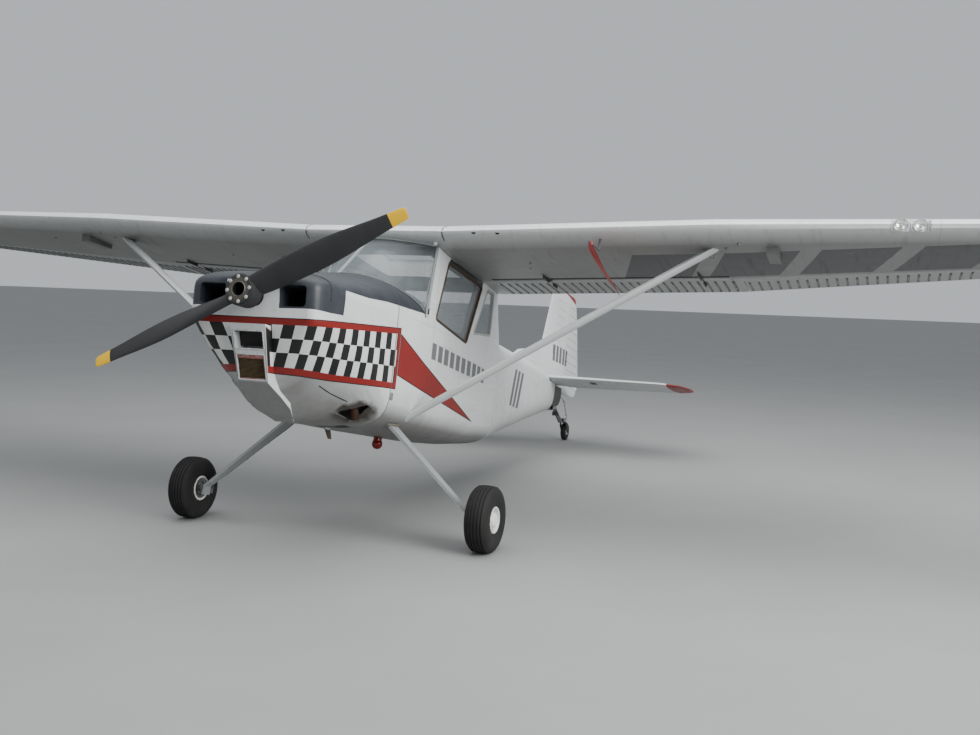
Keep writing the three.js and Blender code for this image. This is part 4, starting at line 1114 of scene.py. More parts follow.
class AIRCRAFT_OT_skins(bpy.types.Operator):
    """Paint the body, wings and tail."""

    bl_idname = "aircraft.skins"
    bl_label = "Painted skins"

    def execute(self, context):
        dress(["nose_bowl", "cowl_upper", "cowl_lower", "cowl_deck", "cabin_tub", "cabin_side_port",
               "cabin_side_starboard", "cabin_door"], fuselage_enamel())
        dress(["wing_port", "wing_starboard", "flap_port", "flap_starboard", "aileron_port",
               "aileron_starboard", "cabin_roof"], wing_enamel())
        dress(["tail_cone", "fin", "rudder", "stabiliser", "elevators"], tail_enamel())
        dress(["strut_port", "strut_starboard"],
              plain_enamel("strut enamel", "BFC2C2", 0.4, "9A9C9B", 0.72, 0.12))
        dress(["gear_leg_port", "gear_leg_starboard"], plain_enamel("leg enamel", "D2CDBE", 0.4, cover=0.3))
        dress(["exhaust_stacks"], bare_metal("scaled exhaust steel", "4A3A30", 0.62, (50, 50, 50), "21150F"))
        dress(["axle_port", "axle_starboard"], bare_metal("plated steel", "8B8D8E"))
        dress(["tail_fork"], fork_enamel())
        dress(["pitot"], plain_enamel("probe enamel", "4D4F50", 0.5, "77797A", 0.7, 0.15))
        dress(["tail_spring"], plain_enamel("spring enamel", "2B2C2D", 0.5))
        dress(["engine_block"], bare_metal("cast aluminium", "6F706E", 0.55, (60, 60, 60)))
        dress(["firewall"], bare_metal("sheet steel", "7F8180", 0.4))
        dress(["cabin_floor"], plain_enamel("floor enamel", "4A4D4A", 0.6))
        dress(["seat_front", "seat_rear"], plain_enamel("seat frame enamel", "5D6360", 0.5))
        dress(["instrument_panel"], soft_black("crackle lacquer", "1A1B1C", 0.6, 260.0))
        dress(["intake_filter"], bare_metal("oiled wire mesh", "3B342A", 0.5))
        dress(["windscreen", "rear_window", "skylight"], clear_acrylic("blown acrylic", body=0.1, haze=0.16))
        dress(["window_port_front", "window_port_rear", "window_starboard_rear", "door_window"],
              clear_acrylic("flat acrylic", body=0.07, haze=0.1))
        dress(["beacon"], clear_acrylic("red lens", "74120F", 0.9, 0.1, 0.95))
        dress(["landing_lights"], clear_acrylic("lamp lens", "D5DCDF", 0.1, 0.08, 0.3))
        dress(["tail_tyre"], tyre_rubber())
        dress(["tail_wheel"], wheel_enamel())
        return {"FINISHED"}


def blade_stop(side, radius, chord, thickness, pitch):
    """Where a blade's section lies, its axes one chord and one thickness long."""
    c, s = math.cos(math.radians(pitch)), math.sin(math.radians(pitch))
    chordwise, deep = (0, chord * s, -side * chord * c), (0, -thickness * c, -side * thickness * s)
    made = Matrix((chordwise, deep, (side, 0, 0))).transposed().to_4x4()
    made.translation = (side * radius, -BLADE_LEAD, 0)
    return made


class AIRCRAFT_OT_propeller(bpy.types.Operator):
    """Build the two lacquered blades and the bolted hub."""

    bl_idname = "aircraft.propeller"
    bl_label = "Propeller"

    def execute(self, context):
        turn = AIRFRAME @ Matrix.Rotation(-BLADE_TURN, 4, "Y")
        shape = []
        for rise, steps in ((0.6, (1, 0.88, 0.74, 0.58, 0.42, 0.28, 0.16, 0.08, 0.03, 0.008, 0)),
                            (-0.4, (0.008, 0.03, 0.08, 0.16, 0.28, 0.42, 0.58, 0.74, 0.88, 1))):
            for t in steps:
                full = 10 * (0.2969 * math.sqrt(t) - 0.126 * t - 0.3516 * t**2 + 0.2843 * t**3 - 0.1 * t**4)
                shape.append((t - 0.5, rise * max(full, 0.02)))
        bm = bmesh.new()
        radii = (60, 85, 112, 140, 170, 205, 245, 285, 330, 380, 440, 500, 560, 640, 730, 820, 900, 970, 1030,
                 1075, 1110, 1122, 1130, 1137, 1141, 1143)
        for side in (1, -1):
            stops = [turn @ blade_stop(side, *eased(BLADE, r)) for r in radii]
            sweep(bm, shape, stops, closed=True)
        # Boss of the forging, with soft edges, bored through
        boss = [(-0.07, 0.0555), (-0.07, 0.0935), (-0.067, 0.0975), (-0.05, 0.0985), (0.03, 0.0985),
                (0.047, 0.0975), (0.05, 0.0935), (0.05, 0.0555)]
        turned(bm, boss, at(0, 0, 0), heading(0, 1, 0), 56)
        piece("propeller_forging", bm, blade_lacquer(), "propeller_assembly", 42,
              ["propeller"])

        bm = bmesh.new()
        disc = [(-0.0705, 0.0545), (-0.0705, 0.0905), (-0.0765, 0.0905), (-0.0777, 0.0885),
                (-0.0777, 0.0495), (-0.076, 0.0478)]
        turned(bm, disc, at(0, 0, 0), heading(0, 1, 0), 56)
        piece("hub_plate", bm, hub_plate_metal(), "propeller_assembly", 30)
        bm = bmesh.new()
        sleeve = [(-0.0795, 0.0425), (-0.0805, 0.0438), (-0.0805, 0.047), (-0.079, 0.0485), (-0.074, 0.0485),
                  (-0.074, 0.0535), (0.09, 0.0535), (0.09, 0.042), (-0.0795, 0.0425)]
        turned(bm, sleeve, at(0, 0, 0), heading(0, 1, 0), 56)
        turned(bm, [(0.0505, 0.0535), (0.0505, 0.0575), (0.395, 0.0575), (0.395, 0.0)], at(0, 0, 0),
               heading(0, 1, 0), 48)
        piece("hub_sleeve", bm, bare_metal("hub steel", "7A7875", 0.34, (60.0, 200.0, 60.0)),
              "propeller_assembly", 30, ["propeller_hub"])
        bm = bmesh.new()
        for a, b in ring_of(8, 77, math.radians(7)):
            bolt(bm, at(a, -77.4, b), heading(0, -1, 0), 0.0118, 0.0014, 20)
            bolt(bm, at(a, -78.8, b), heading(0, -1, 0), 0.0095, 0.0052)
            bolt(bm, at(a, -83.6, b), heading(0, -1, 0), 0.0042, 0.0018, 12)
        piece("hub_bolts", bm, bare_metal("cadmium plate", "D9D6CC", 0.3, (80, 80, 80), "9A927F"),
              "propeller_assembly", 25)
        return {"FINISHED"}


class AIRCRAFT_OT_main_wheels(bpy.types.Operator):
    """Build the main tyres, their white wheels and caps, and the brakes."""

    bl_idname = "aircraft.main_wheels"
    bl_label = "Main wheels"

    def execute(self, context):
        groove = context.scene.aircraft_sizes.tread_groove
        tread = []
        for place in (-0.048, -0.024, 0.0, 0.024, 0.048):
            crown = 0.231 - 0.0088 * (place / 0.07) ** 2
            tread += [(place - 0.0058, crown), (place - 0.0036, crown - groove),
                      (place + 0.0036, crown - groove), (place + 0.0058, crown)]
        wall = [(0.0665, 0.2165), (0.0745, 0.2075), (0.0805, 0.193), (0.0836, 0.174), (0.0833, 0.152),
                (0.0805, 0.130), (0.0762, 0.112), (0.0722, 0.1), (0.0705, 0.0935), (0.069, 0.0915),
                (0.062, 0.0838)]
        rubber = [(-a, r) for a, r in reversed(wall)] + tread + wall
        rim = [(0.0605, 0.0815), (0.064, 0.088), (0.0665, 0.0915), (0.0705, 0.0925), (0.0745, 0.0895),
               (0.0762, 0.0845), (0.0735, 0.0785), (0.067, 0.0745), (0.058, 0.071), (0.0545, 0.064),
               (0.0545, 0.052), (0.057, 0.0475)]
        cap = [(0.0545, 0.0475), (0.0665, 0.0455), (0.0725, 0.0425), (0.0752, 0.036), (0.0762, 0.02),
               (0.0765, 0.0)]
        for side, name in SIDES:
            hub, axis = at(side * TRACK_HALF, AXLE_STATION, AXLE_W), (side, 0, 0)
            body = name + "_main_wheel"
            bm = bmesh.new()
            turned(bm, rubber, hub, axis, 96)
            piece("main_tyre_" + name, bm, tyre_rubber(), body, 30, ["tyre_" + name])
            bm = bmesh.new()
            turned(bm, rim, hub, axis, 72)
            turned(bm, [(-a, r) for a, r in rim[:9]] + [(-0.05, 0.045), (-0.05, 0.021)], hub, axis, 72)
            turned(bm, [(-0.0605, 0.0815), (0.0605, 0.0815)], hub, axis, 72)
            for a, b in ring_of(12, 62, 0.2):
                bolt(bm, at(side * (TRACK_HALF + 54.5), AXLE_STATION + a, AXLE_W + b), axis, 0.0048, 0.005)
            piece("main_wheel_" + name, bm, wheel_enamel(), body, 30, ["wheel_" + name])
            bm = bmesh.new()
            turned(bm, cap, hub, axis, 56)
            for a, b in ring_of(3, 37, 0.5):
                bolt(bm, at(side * (TRACK_HALF + 75), AXLE_STATION + a, AXLE_W + b), axis, 0.0034, 0.002, 14)
            piece("hub_cap_" + name, bm, plain_enamel("cap enamel", "E4E5E0", 0.35, cover=0.2), body,
                  30)
            bm = bmesh.new()
            disc = [(-0.0655, 0.048), (-0.0655, 0.0725), (-0.0715, 0.0725), (-0.0715, 0.048),
                    (-0.0655, 0.048)]
            turned(bm, disc, hub, axis, 64)
            iron = bare_metal("brake disc iron", "8C8984", 0.3, (4, 60, 60), "5A4432")
            piece("brake_disc_" + name, bm, iron, body, 30)
            bm = bmesh.new()
            mount = level_frame(side * TRACK_HALF, AXLE_STATION + 78, AXLE_W)
            mount = mount @ Matrix.Scale(side, 4, (1, 0, 0))
            boxed(bm, (-0.094, -0.032, -0.036), (-0.058, 0.032, 0.036), mount, 0.006, 3)
            piece("brake_caliper_" + name, bm, bare_metal("cast alloy", "8F9091", 0.5, (70, 70, 70)),
                  "airframe", 40)
        return {"FINISHED"}


class AIRCRAFT_OT_nose(bpy.types.Operator):
    """Fit the nose's seals, chin box, cooling fins and fasteners, and the vent behind it."""

    bl_idname = "aircraft.nose"
    bl_label = "Nose fittings"

    def execute(self, context):
        upper, lower = skin("cowl_upper"), skin("cowl_lower")
        bm = bmesh.new()
        points = [at(700 * math.cos(a), 208, 20 + 600 * math.sin(a))
                  for a in (math.radians(-4 + 188 * i / 64) for i in range(65))]
        bead(bm, skin("nose_bowl"), points, [at(0, 208, 20) - p for p in points], 0.006, 0.0045)
        for side in (1, -1):
            line = [(321, 463, -508), (338, 560, -534), (355, 660, -556), (372, 770, -576)]
            points = smooth_line([at(side * (x + 150), s, w - 150) for x, s, w in line], 4)
            bead(bm, lower, points, heading(-side, 0, 1), 0.0045, 0.003)
        piece("nose_seals", bm, gasket_rubber(), "airframe", 40)

        # Chin box: x across and d down its slanted face, in mm
        def chin(x, d, out=0.0):
            return at(x, 62 + 0.382 * d - 0.924 * out, -187 - 0.924 * d - 0.382 * out)

        def chin_plate(x0, x1, d0, d1, out, thick, bevel):
            corners = [chin(x, d, out) for x, d in ((x0, d0), (x1, d0), (x1, d1), (x0, d1))]
            plate(bm, corners, face, thick, bevel)

        face = heading(0, -0.924, -0.382)
        bm = bmesh.new()
        for half, top, foot in ((104, 44.4, 162.3), (100, 195.9, 360.4)):
            outline = rounded([(-half, foot), (half, foot), (half, top), (-half, top)], 10)
            hoop(bm, [chin(x, d, 0.6) for x, d in outline], face, 0.0042)
        piece("chin_lips", bm, plain_enamel("lip enamel", "C4C6C4", 0.45), "airframe", 50)
        bm = bmesh.new()
        chin_plate(-98, 98, 199, 224, -3, 0.002, 0.0008)
        for x0, x1, d0, d1 in ((90, 98, 226, 352), (-98, 98, 350, 358)):
            chin_plate(x0, x1, d0, d1, -3, 0.002, 0.0006)
        piece("chin_edge", bm, plain_enamel("red lip enamel", "8E2A22", 0.45), "airframe", 50)
        bm = bmesh.new()
        for x in range(-92, 93, 8):
            tube(bm, [chin(x, 228, -11), chin(x, 357, -11)], 0.0011, face, 5)
        for d in range(230, 356, 8):
            tube(bm, [chin(-98, d, -12.6), chin(98, d, -12.6)], 0.0011, face, 5)
        piece("chin_screen", bm, bare_metal("screen wire", "7A6A52", 0.5, (80, 80, 80)), "airframe",
              60)
        # Core of bars at the back of the chin box's upper opening, black as painted shade in the duct
        bm = bmesh.new()
        chin_plate(-101, 101, 47, 160, -62, 0.004, 0.0008)
        for d in range(54, 158, 9):
            tube(bm, [chin(-100, d, -59), chin(100, d, -59)], 0.0012, face, 6)
        piece("chin_duct_back", bm, soft_black("duct core in painted shade", "121212", 0.8, 200.0, cover=0.15),
              "airframe", 40)

        for side, name in SIDES:
            bm = bmesh.new()
            fins = [(0.13, 0.0)]
            for i in range(22):
                a = 0.13 + 0.012 * i
                fins += [(a, 0.05), (a + 0.0006, 0.066), (a + 0.0034, 0.066), (a + 0.004, 0.05)]
            turned(bm, fins + [(0.394, 0.05), (0.394, 0.0)], at(0, 430, 0), (side, 0, 0), 40)
            iron = bare_metal("cooling fins", "6B5A48", 0.6, (50, 50, 50), "3A2A1E")
            piece("cylinder_fins_" + name, bm, iron, "airframe", 30)

        # Quarter-turn fasteners along the split of the cowl and down its rear edge
        bm = bmesh.new()
        spots = [(tree, s, w) for s in range(385, 1130, 105) for tree, w in ((upper, 74), (lower, 28))]
        spots += [(lower, 1132, w) for w in range(-500, 30, 75)]
        for side in (1, -1):
            for tree, s, w in spots:
                hit = meets(tree, at(side * 700, s, w), (-side, 0, 0))
                if hit:
                    bolt(bm, *hit, 0.0052, 0.0008, 12)
        piece("cowl_fasteners", bm, fuselage_enamel(), "airframe", 30)

        # Square vent low on the port side
        bm = bmesh.new()
        tub = skin("cabin_tub")
        points = [at(700, 1184 + a, -490 + b) for a, b in oblong(24, 24, 6, 3)]
        bead(bm, tub, points, (-1, 0, 0), 0.003, 0.003, True)
        for b in (-18, -12, -6, 0, 6, 12, 18):
            bead(bm, tub, [at(700, 1184 + a, -490 + b) for a in (-22, 0, 22)], (-1, 0, 0), 0.0034, 0.004)
        piece("side_vent", bm, plain_enamel("vent enamel", "6B7068", 0.5), "airframe", 40)
        return {"FINISHED"}


class AIRCRAFT_OT_glazing(bpy.types.Operator):
    """Fit the window frames, head strips, seals, roof trim, brace and ribs."""

    bl_idname = "aircraft.glazing"
    bl_label = "Window frames"

    def execute(self, context):
        brown = plain_enamel("window frame enamel", "3A2E22", 0.5, "8A7558", 0.66, 0.2)
        grey = plain_enamel("rear frame enamel", "A4A6A3", 0.5, "8C8F90", 0.7, 0.2)
        rubber = gasket_rubber()
        white = trim_enamel()
        # Section: a lip over the skin, and a thin wall that lines the opening, in metres
        section = [(0.0042, -0.027), (0.0042, 0.003), (0.001, 0.005), (-0.014, 0.004), (-0.0165, -0.0005),
                   (0.0029, -0.0005), (0.0029, -0.027)]
        edge = [(0.0066, -0.025), (0.0066, -0.003), (0.0042, -0.003), (0.0042, -0.025)]
        baked = plain_enamel("sun-baked sealant", "7A4516", 0.7, "4A2E14", 0.55, 0.6)
        for name, side, corners, finish, body in (
            ("frame_port_front", 1, FRONT_WINDOW, brown, "airframe"),
            ("frame_port_rear", 1, REAR_WINDOW, grey, "airframe"),
            ("frame_starboard_rear", -1, REAR_WINDOW, grey, "airframe"),
            ("frame_door", -1, DOOR_WINDOW, brown, "door"),
        ):
            middle = sum((Vector(c) for c in corners), Vector((0, 0))) / 4
            outline = [p + (p - middle).normalized() * 3 for p in rounded(corners, 24)]
            if side < 0:
                outline.reverse()
            places = [at(side * wall(s), s, w) for s, w in outline]
            bm = bmesh.new()
            sweep(bm, section, stops_along(places, Vector((side, 0, 0)), True), closed=True, ring=True)
            for k, (s, w) in enumerate(outline):
                if k % 5 in (0, 4):
                    after = outline[(k + 1) % len(outline)]
                    far = (after - outline[k]).length
                    for j in range(1, int(far // 105)):
                        p = outline[k].lerp(after, j / int(far // 105))
                        p = p + (p - middle).normalized() * 7
                        bolt(bm, at(side * (wall(p[0]) + 4), *p), (side, 0, 0), 0.0036, 0.0012, 10)
            piece(name, bm, finish, body, 34)
            if finish is brown:
                bm = bmesh.new()
                sweep(bm, edge, stops_along(places, Vector((side, 0, 0)), True), closed=True, ring=True)
                piece(name.replace("frame", "edge"), bm, baked, body, 34)

        # Head strips: nearly opaque dark glazing, the painted shade of the cabin behind the glass
        shade_dark = clear_acrylic("smoked acrylic", "23282B", 0.88, 0.1, 0.95)
        for side, name, drop in ((1, "port", 0), (-1, "starboard", 9)):
            bm = bmesh.new()
            strip = [(s, w + (drop if k < 2 else 0)) for k, (s, w) in enumerate(HEAD_STRIP)]
            strip = [at(side * (wall(s) + 0.6), s, w) for s, w in strip]
            plate(bm, strip, (side, 0, 0), 0.0028, 0.0012)
            piece("head_strip_" + name, bm, shade_dark, "airframe", 30)

        bm = bmesh.new()
        deck = skin("cowl_deck")
        points, ways = [], []
        for i in range(61):
            a = math.radians(-83 + 166 * i / 60)
            sa, ca = math.sin(a), math.cos(a)
            s = 1178 + 495 * abs(sa) ** 3 - 5
            share = (s - 1150) / 540
            half, top, shoulder = 495 - 13 * share, 362 + 12 * share, 105 - 5 * share
            x = (half - 4) * math.copysign(abs(sa) ** (2 / 2.3), sa)
            w = shoulder + (top - shoulder) * ca ** (2 / 2.3)
            points.append(at(x + 80 * sa, s, w + 80 * ca))
            ways.append(heading(-sa, 0, -ca))
        bead(bm, deck, points, ways, 0.009, 0.005)
        cone = skin("tail_cone")
        points = [at(x, 3410, 500) for x in range(-372, 373, 31)]
        bead(bm, cone, points, heading(0, 0, -1), 0.01, 0.005)
        piece("window_seals", bm, rubber, "airframe", 40)

        bm = bmesh.new()
        outline = rounded([(-336, 2628), (336, 2628), (336, 1952), (-336, 1952)], 30, 5)
        rim = []
        for k, here in enumerate(outline):
            after = outline[(k + 1) % len(outline)]
            rim += [here.lerp(after, j / 6) for j in range(6)]
        bead(bm, skin("cabin_roof", "skylight"), [at(x, s, 1100) for x, s in rim], heading(0, 0, -1),
             0.014, 0.0035, True)
        heads = []
        for i in range(-20, 21):
            x = 468 * i / 20
            heads.append(at(x, 1638 + 104 * (x / 474) ** 2, 380))
        bead(bm, skin("cabin_roof"), heads, heading(0, 0, 1), 0.012, 0.004)
        for side in (1, -1):
            low, top = Vector((side * 476, 1668, 172)), Vector((side * 476, 1752, 690))
            ends = [AIRFRAME @ low.lerp(top, k / 6) for k in range(7)]
            sweep(bm, [(-0.012, -0.002), (0.012, -0.002), (0.01, 0.004), (-0.01, 0.004)],
                  stops_along(ends, Vector((side, 0, 0))), closed=True)
            sides = [at(side * (wall(s) - inset), s, w)
                     for s, inset, w in ((1703, 42, 215), (1775, 46, 460), (1846, 46, 680))]
            tube(bm, smooth_line(sides, 5), 0.007, (1, 0, 0), 10)
        piece("roof_trim", bm, white, "airframe", 40)

        # Tube that braces the roof from the deck, and the dark ribs beside the front window
        bm = bmesh.new()
        foot, head = at(-205, 1420, 352), at(-62, 1640, 700)
        tube(bm, smooth_line([foot, foot.lerp(head, 0.5), head], 3), 0.0115, (0, 1, 0), 14)
        piece("cabin_brace", bm, white, "airframe", 40)
        bm = bmesh.new()
        for s0, w0, s1, w1 in ((2530, 60, 2770, 650), (1812, 110, 1965, 655)):
            stops = stops_along([at(430, s0, w0), at(432, s1, w1)], Vector((1, 0, 0)))
            sweep(bm, [(-0.011, -0.026), (0.011, -0.026), (0.014, 0.026), (-0.014, 0.026)], stops,
                  closed=True)
        piece("window_ribs", bm, plain_enamel("zinc primer", "4B4F42", 0.6), "airframe", 40)
        bm = bmesh.new()
        stud(bm, skin("wing_port", "cabin_roof", "cabin_side_port"), at(480, 1687, 500), heading(0, 0, 1),
             0.017, 0.022)
        piece("vent_knob", bm, white, "airframe", 40)
        return {"FINISHED"}


def swollen(pads, reach):
    """Swells pads as cloth under pressure, no point further than reach, and keeps the swollen meshes."""
    scene = bpy.context.scene
    starts = []
    for pad in pads:
        voxels = pad.modifiers.new("Voxels", "REMESH")
        voxels.mode, voxels.voxel_size = "VOXEL", 0.006
        held = bpy.data.meshes.new_from_object(pad.evaluated_get(bpy.context.evaluated_depsgraph_get()))
        pad.modifiers.clear()
        for finish in pad.data.materials:
            if finish.name not in held.materials:
                held.materials.append(finish)
        pad.data = held
        starts.append([v.co.copy() for v in held.vertices])
        cloth = pad.modifiers.new("Cloth", "CLOTH")
        cloth.settings.use_pressure = True
        cloth.settings.uniform_pressure_force = 4.0
        cloth.settings.effector_weights.gravity = 0.0
    for count in range(1, 21):
        scene.frame_set(count)
    graph = bpy.context.evaluated_depsgraph_get()
    for pad, start in zip(pads, starts):
        ends = [v.co.copy() for v in pad.evaluated_get(graph).data.vertices]
        pad.modifiers.clear()
        for v, a, b in zip(pad.data.vertices, start, ends):
            move = b - a
            v.co = a + (move * min(1.0, reach / move.length) if move.length else move)
        pad.data.polygons.foreach_set("use_smooth", [True] * len(pad.data.polygons))
        soft = pad.modifiers.new("Soft", "SUBSURF")
        soft.levels = soft.render_levels = 1
    scene.frame_set(1)


def seat_frames(s):
    """Where the lower cushion and the back cushion of the seat at that station lie."""
    return level_frame(0, s + 182, -262), level_frame(0, s + 448, 6, math.radians(11.5))


class AIRCRAFT_OT_cabin(bpy.types.Operator):
    """Stuff the seats' cushions and fit the dials, sticks and grips."""

    bl_idname = "aircraft.cabin"
    bl_label = "Cabin"

    def execute(self, context):
        canvas = soft_black("duck canvas", "565A49", 0.9, 900.0, 0.0006, "7A7462", 0.35)
        pads = []
        for name, s, half in SEATS:
            base, back = seat_frames(s)
            for part, place, low, high in (
                ("seat_pad", base, (-half, -166, -25), (half, 166, 22)),
                ("back_pad", back, (-half, -24, -208), (half, 20, 206)),
            ):
                bm = bmesh.new()
                low, high = Vector(low) / 1000, Vector(high) / 1000
                boxed(bm, low, high, place, 0.016, 3)
                pads.append(piece(part + "_" + name, bm, canvas, "airframe", 60,
                                  ["cushion_" + name]))
        swollen(pads, 0.013)

        # Welts round each pad and the dials on the panel's aft face
        bm = bmesh.new()
        for _, s, half in SEATS:
            base, back = seat_frames(s)
            for place, long, up in ((base, 172, (0, 0, 1)), (back, 212, (0, 1, 0))):
                corners = [(a, b, 0) if up[2] else (a, 0, b) for a, b in oblong(half + 8, long, 26)]
                hoop(bm, [place @ (Vector(c) / 1000) for c in corners], place.to_3x3() @ Vector(up), 0.005)
        piece("seat_welts", bm, soft_black("welt canvas", "3F4237", 0.85, 700.0), "airframe", 60)

        bezels, faces, hands = bmesh.new(), bmesh.new(), bmesh.new()
        aft = heading(0, 1, 0)
        dials = [(x, w, 40) for x in (-185, -92, 0, 92, 185) for w in (135, 38)]
        dials += [(x, -55, 28) for x in (-200, -130, -60, 60, 130, 200)]
        for k, (x, w, r) in enumerate(dials):
            spot, r = at(x, 1631, w), r / 1000
            turned(bezels, [(0.0, r), (0.005, r), (0.0065, r * 0.95), (0.0045, r * 0.86),
                            (0.0, r * 0.86)], spot, aft, 28)
            turned(faces, [(0.002, r * 0.87), (0.002, 0.0)], spot, aft, 28)
            turn = level_frame(x, 1634, w) @ Matrix.Rotation(0.7 * k, 4, "Y")
            boxed(hands, (-0.0012, 0, -0.006), (0.0012, 0.001, r * 0.72), turn, 0.0003, 1)
            for i in range(8):
                mark = level_frame(x, 1634, w) @ Matrix.Rotation(math.pi * i / 4, 4, "Y")
                boxed(hands, (-0.0009, 0, r * 0.72), (0.0009, 0.0006, r * 0.83), mark)
        piece("dial_bezels", bezels, soft_black("bezel lacquer", "101010", 0.45, 300.0), "airframe",
              30)
        piece("dial_faces", faces, soft_black("dial paper", "161718", 0.5, 300.0), "airframe",
              30)
        piece("dial_hands", hands, plain_enamel("dial white", "DADAD2", 0.5), "airframe", 30)

        bm, grips = bmesh.new(), bmesh.new()
        for s in (1985, 2652):
            line = [at(0, s + 20, -634), at(0, s + 16, -520), at(0, s, -380), at(0, s - 12, -255)]
            tube(bm, smooth_line(line, 5), 0.0125, (1, 0, 0), 14)
            turned(bm, [(0.0, 0.036), (0.012, 0.03), (0.03, 0.018), (0.045, 0.0145)], at(0, s + 20, -634),
                   heading(0, 0, 1), 24)
            grip = [(0.0, 0.0125), (0.0, 0.0165), (0.02, 0.019), (0.04, 0.0165), (0.06, 0.019),
                    (0.08, 0.0165), (0.1, 0.0185), (0.112, 0.014), (0.116, 0.0)]
            turned(grips, grip, at(0, s - 10, -270), heading(0, -0.06, 1), 24)
        for s in (1900, 2560):
            tube(bm, [at(425, s, -60), at(405, s - 20, 20)], 0.005, (1, 0, 0), 10)
            turned(grips, [(0.0, 0.0), (0.0, 0.012), (0.012, 0.018), (0.026, 0.016), (0.032, 0.0)],
                   at(407, s - 18, 14), heading(-0.2, -0.2, 1), 20)
        piece("control_sticks", bm, bare_metal("stick tube", "5B5D5C", 0.4, (90, 90, 6)), "airframe",
              40)
        piece("control_grips", grips, soft_black("grip rubber", "151515", 0.7, 300.0), "airframe",
              50)
        return {"FINISHED"}


class AIRCRAFT_OT_wings(bpy.types.Operator):
    """Bead the flaps and ailerons and fit the lamps, caps, vents, seals and rings of the wings."""

    bl_idname = "aircraft.wings"
    bl_label = "Wing fittings"

    def execute(self, context):
        rise = context.scene.aircraft_sizes.bead_height
        rubber = gasket_rubber()
        trim = trim_enamel()
        # Beads under the flaps and ailerons are darker grey, as painted shade
        shaded = plain_enamel("grimy bead enamel", "969996", 0.5, "5A5B59", 0.6, 0.4)
        steel = fastener_steel()
        up, down = heading(0, 0, 1), heading(0, 0, -1)
        for side, name in SIDES:
            low, high = bmesh.new(), bmesh.new()
            tree = skin("flap_" + name)
            for x in range(612, 2520, 68):
                line = [2815 + 44 * k for k in range(9)]
                bead(low, tree, [at(side * x, s, 300) for s in line], up, 0.011, rise)
                bead(high, tree, [at(side * x, s, 1300) for s in line[1:]], down, 0.011, rise)
            piece("flap_beads_low_" + name, low, shaded, name + "_flap", 50)
            piece("flap_beads_" + name, high, wing_enamel(), name + "_flap", 50)
            low, high = bmesh.new(), bmesh.new()
            tree = skin("aileron_" + name)
            for x in range(2636, 5040, 72):
                t = (x - 2540) / 2840
                first, last = 2851 - 148 * t + 26, 3209 - 262 * t - 44
                line = [first + (last - first) * k / 7 for k in range(8)]
                bead(low, tree, [at(side * x, s, 300) for s in line], up, 0.01, rise * 0.8)
                bead(high, tree, [at(side * x, s, 1500) for s in line], down, 0.01, rise * 0.8)
            piece("aileron_beads_low_" + name, low, shaded, name + "_aileron", 50)
            piece("aileron_beads_" + name, high, wing_enamel(), name + "_aileron", 50)

            # Black rubber strip ahead of the flap, standing for the slot's painted shade, and the joint where
            # the wing meets the roof
            bm = bmesh.new()
            tree = skin("wing_" + name)
            bead(bm, tree, [at(side * x, 2662, 300) for x in range(590, 2521, 40)], up, 0.026, 0.0025)
            roots, ways = [], []
            for s in range(2640, 1640, -60):
                roots.append(at(side * 566, s, 1300))
                ways.append(down)
            for k in range(27):
                a = math.radians(78 - 6 * k)
                roots.append(at(side * 566, 1672 - 300 * math.cos(a), 800 + 300 * math.sin(a)))
                ways.append(at(side * 566, 1672, 800) - roots[-1])
            bead(bm, tree, roots, ways, 0.005, 0.002)
            piece("wing_seals_and_slot_shade_" + name, bm, rubber, "airframe", 50)

            # Half-round vent mouths in the leading edge near the root, flat side up, each a black plate of
            # painted shade
            bm, mouths = bmesh.new(), bmesh.new()
            for x in (815, 996) if side > 0 else (769, 950):
                hit = meets(tree, at(side * x, 1400, 770), heading(0, 1, 0))
                if hit:
                    mouth = frame_at(hit[0] + hit[1] * 0.0008, hit[1], up)
                    turns = [math.pi * k / 12 for k in range(13)]
                    flat = [(0.019 * math.cos(a), 0.006 - 0.017 * math.sin(a), 0) for a in turns]
                    arc = [mouth @ Vector(point) for point in flat]
                    plate(mouths, arc, hit[1], 0.0012, 0.0003)
                    hoop(bm, arc, hit[1], 0.0016)
            piece("vent_lips_" + name, bm, trim, "airframe", 50)
            piece("vent_mouth_shade_" + name, mouths, soft_black("vent mouth shade", "0C0C0C", 0.85, 160.0, cover=0.1),
                  "airframe", 35)

            # Fuel caps on top, drains and plugs below, tie ring and tip lamp
            bm = bmesh.new()
            for x in (1250, 2150):
                hit = meets(tree, at(side * x, 2060, 1400), down)
                cap = [(-0.002, 0.056), (0.002, 0.056), (0.003, 0.05), (0.003, 0.044), (0.009, 0.041),
                       (0.011, 0.036), (0.011, 0.0)]
                turned(bm, cap, hit[0], hit[1], 40)
                boxed(bm, (-0.03, -0.005, 0.01), (0.03, 0.005, 0.017),
                      frame_at(hit[0], hit[1], (0, 1, 0)), 0.002, 2)
            for x, s, r, h in ((1080, 2156, 0.013, 0.016), (1028, 2322, 0.008, 0.006),
                               (2683, 1809, 0.014, 0.018), (2590, 1884, 0.011, 0.014),
                               (1600, 2200, 0.01, 0.01), (3400, 2080, 0.01, 0.008)):
                stud(bm, tree, at(side * x, s, 300), up, r, h)
            hit = meets(tree, at(side * 2480, 1990, 300), up)
            turned(bm, [(a, 0.02 + b) for a, b in (*ring_of(10, 0.0045), (0.0045, 0.0))],
                   hit[0] + down * 0.016, (0, 1, 0), 32)
            piece("wing_fittings_" + name, bm, steel, "airframe", 38)
            bm = bmesh.new()
            hit = meets(tree, at(side * 5400, 2330, 1500), down)
            dome = [(-0.004, 0.034), (0.002, 0.034), (0.01, 0.03), (0.015, 0.02), (0.017, 0.0)]
            turned(bm, dome, hit[0], hit[1], 28)
            tint, code = ("red", "9C1B16") if side > 0 else ("green", "1E7A44")
            lens = clear_acrylic(tint + " tip lens", code, 0.8, 0.1, 0.95)
            piece("tip_lamp_" + name, bm, lens, "airframe", 35)

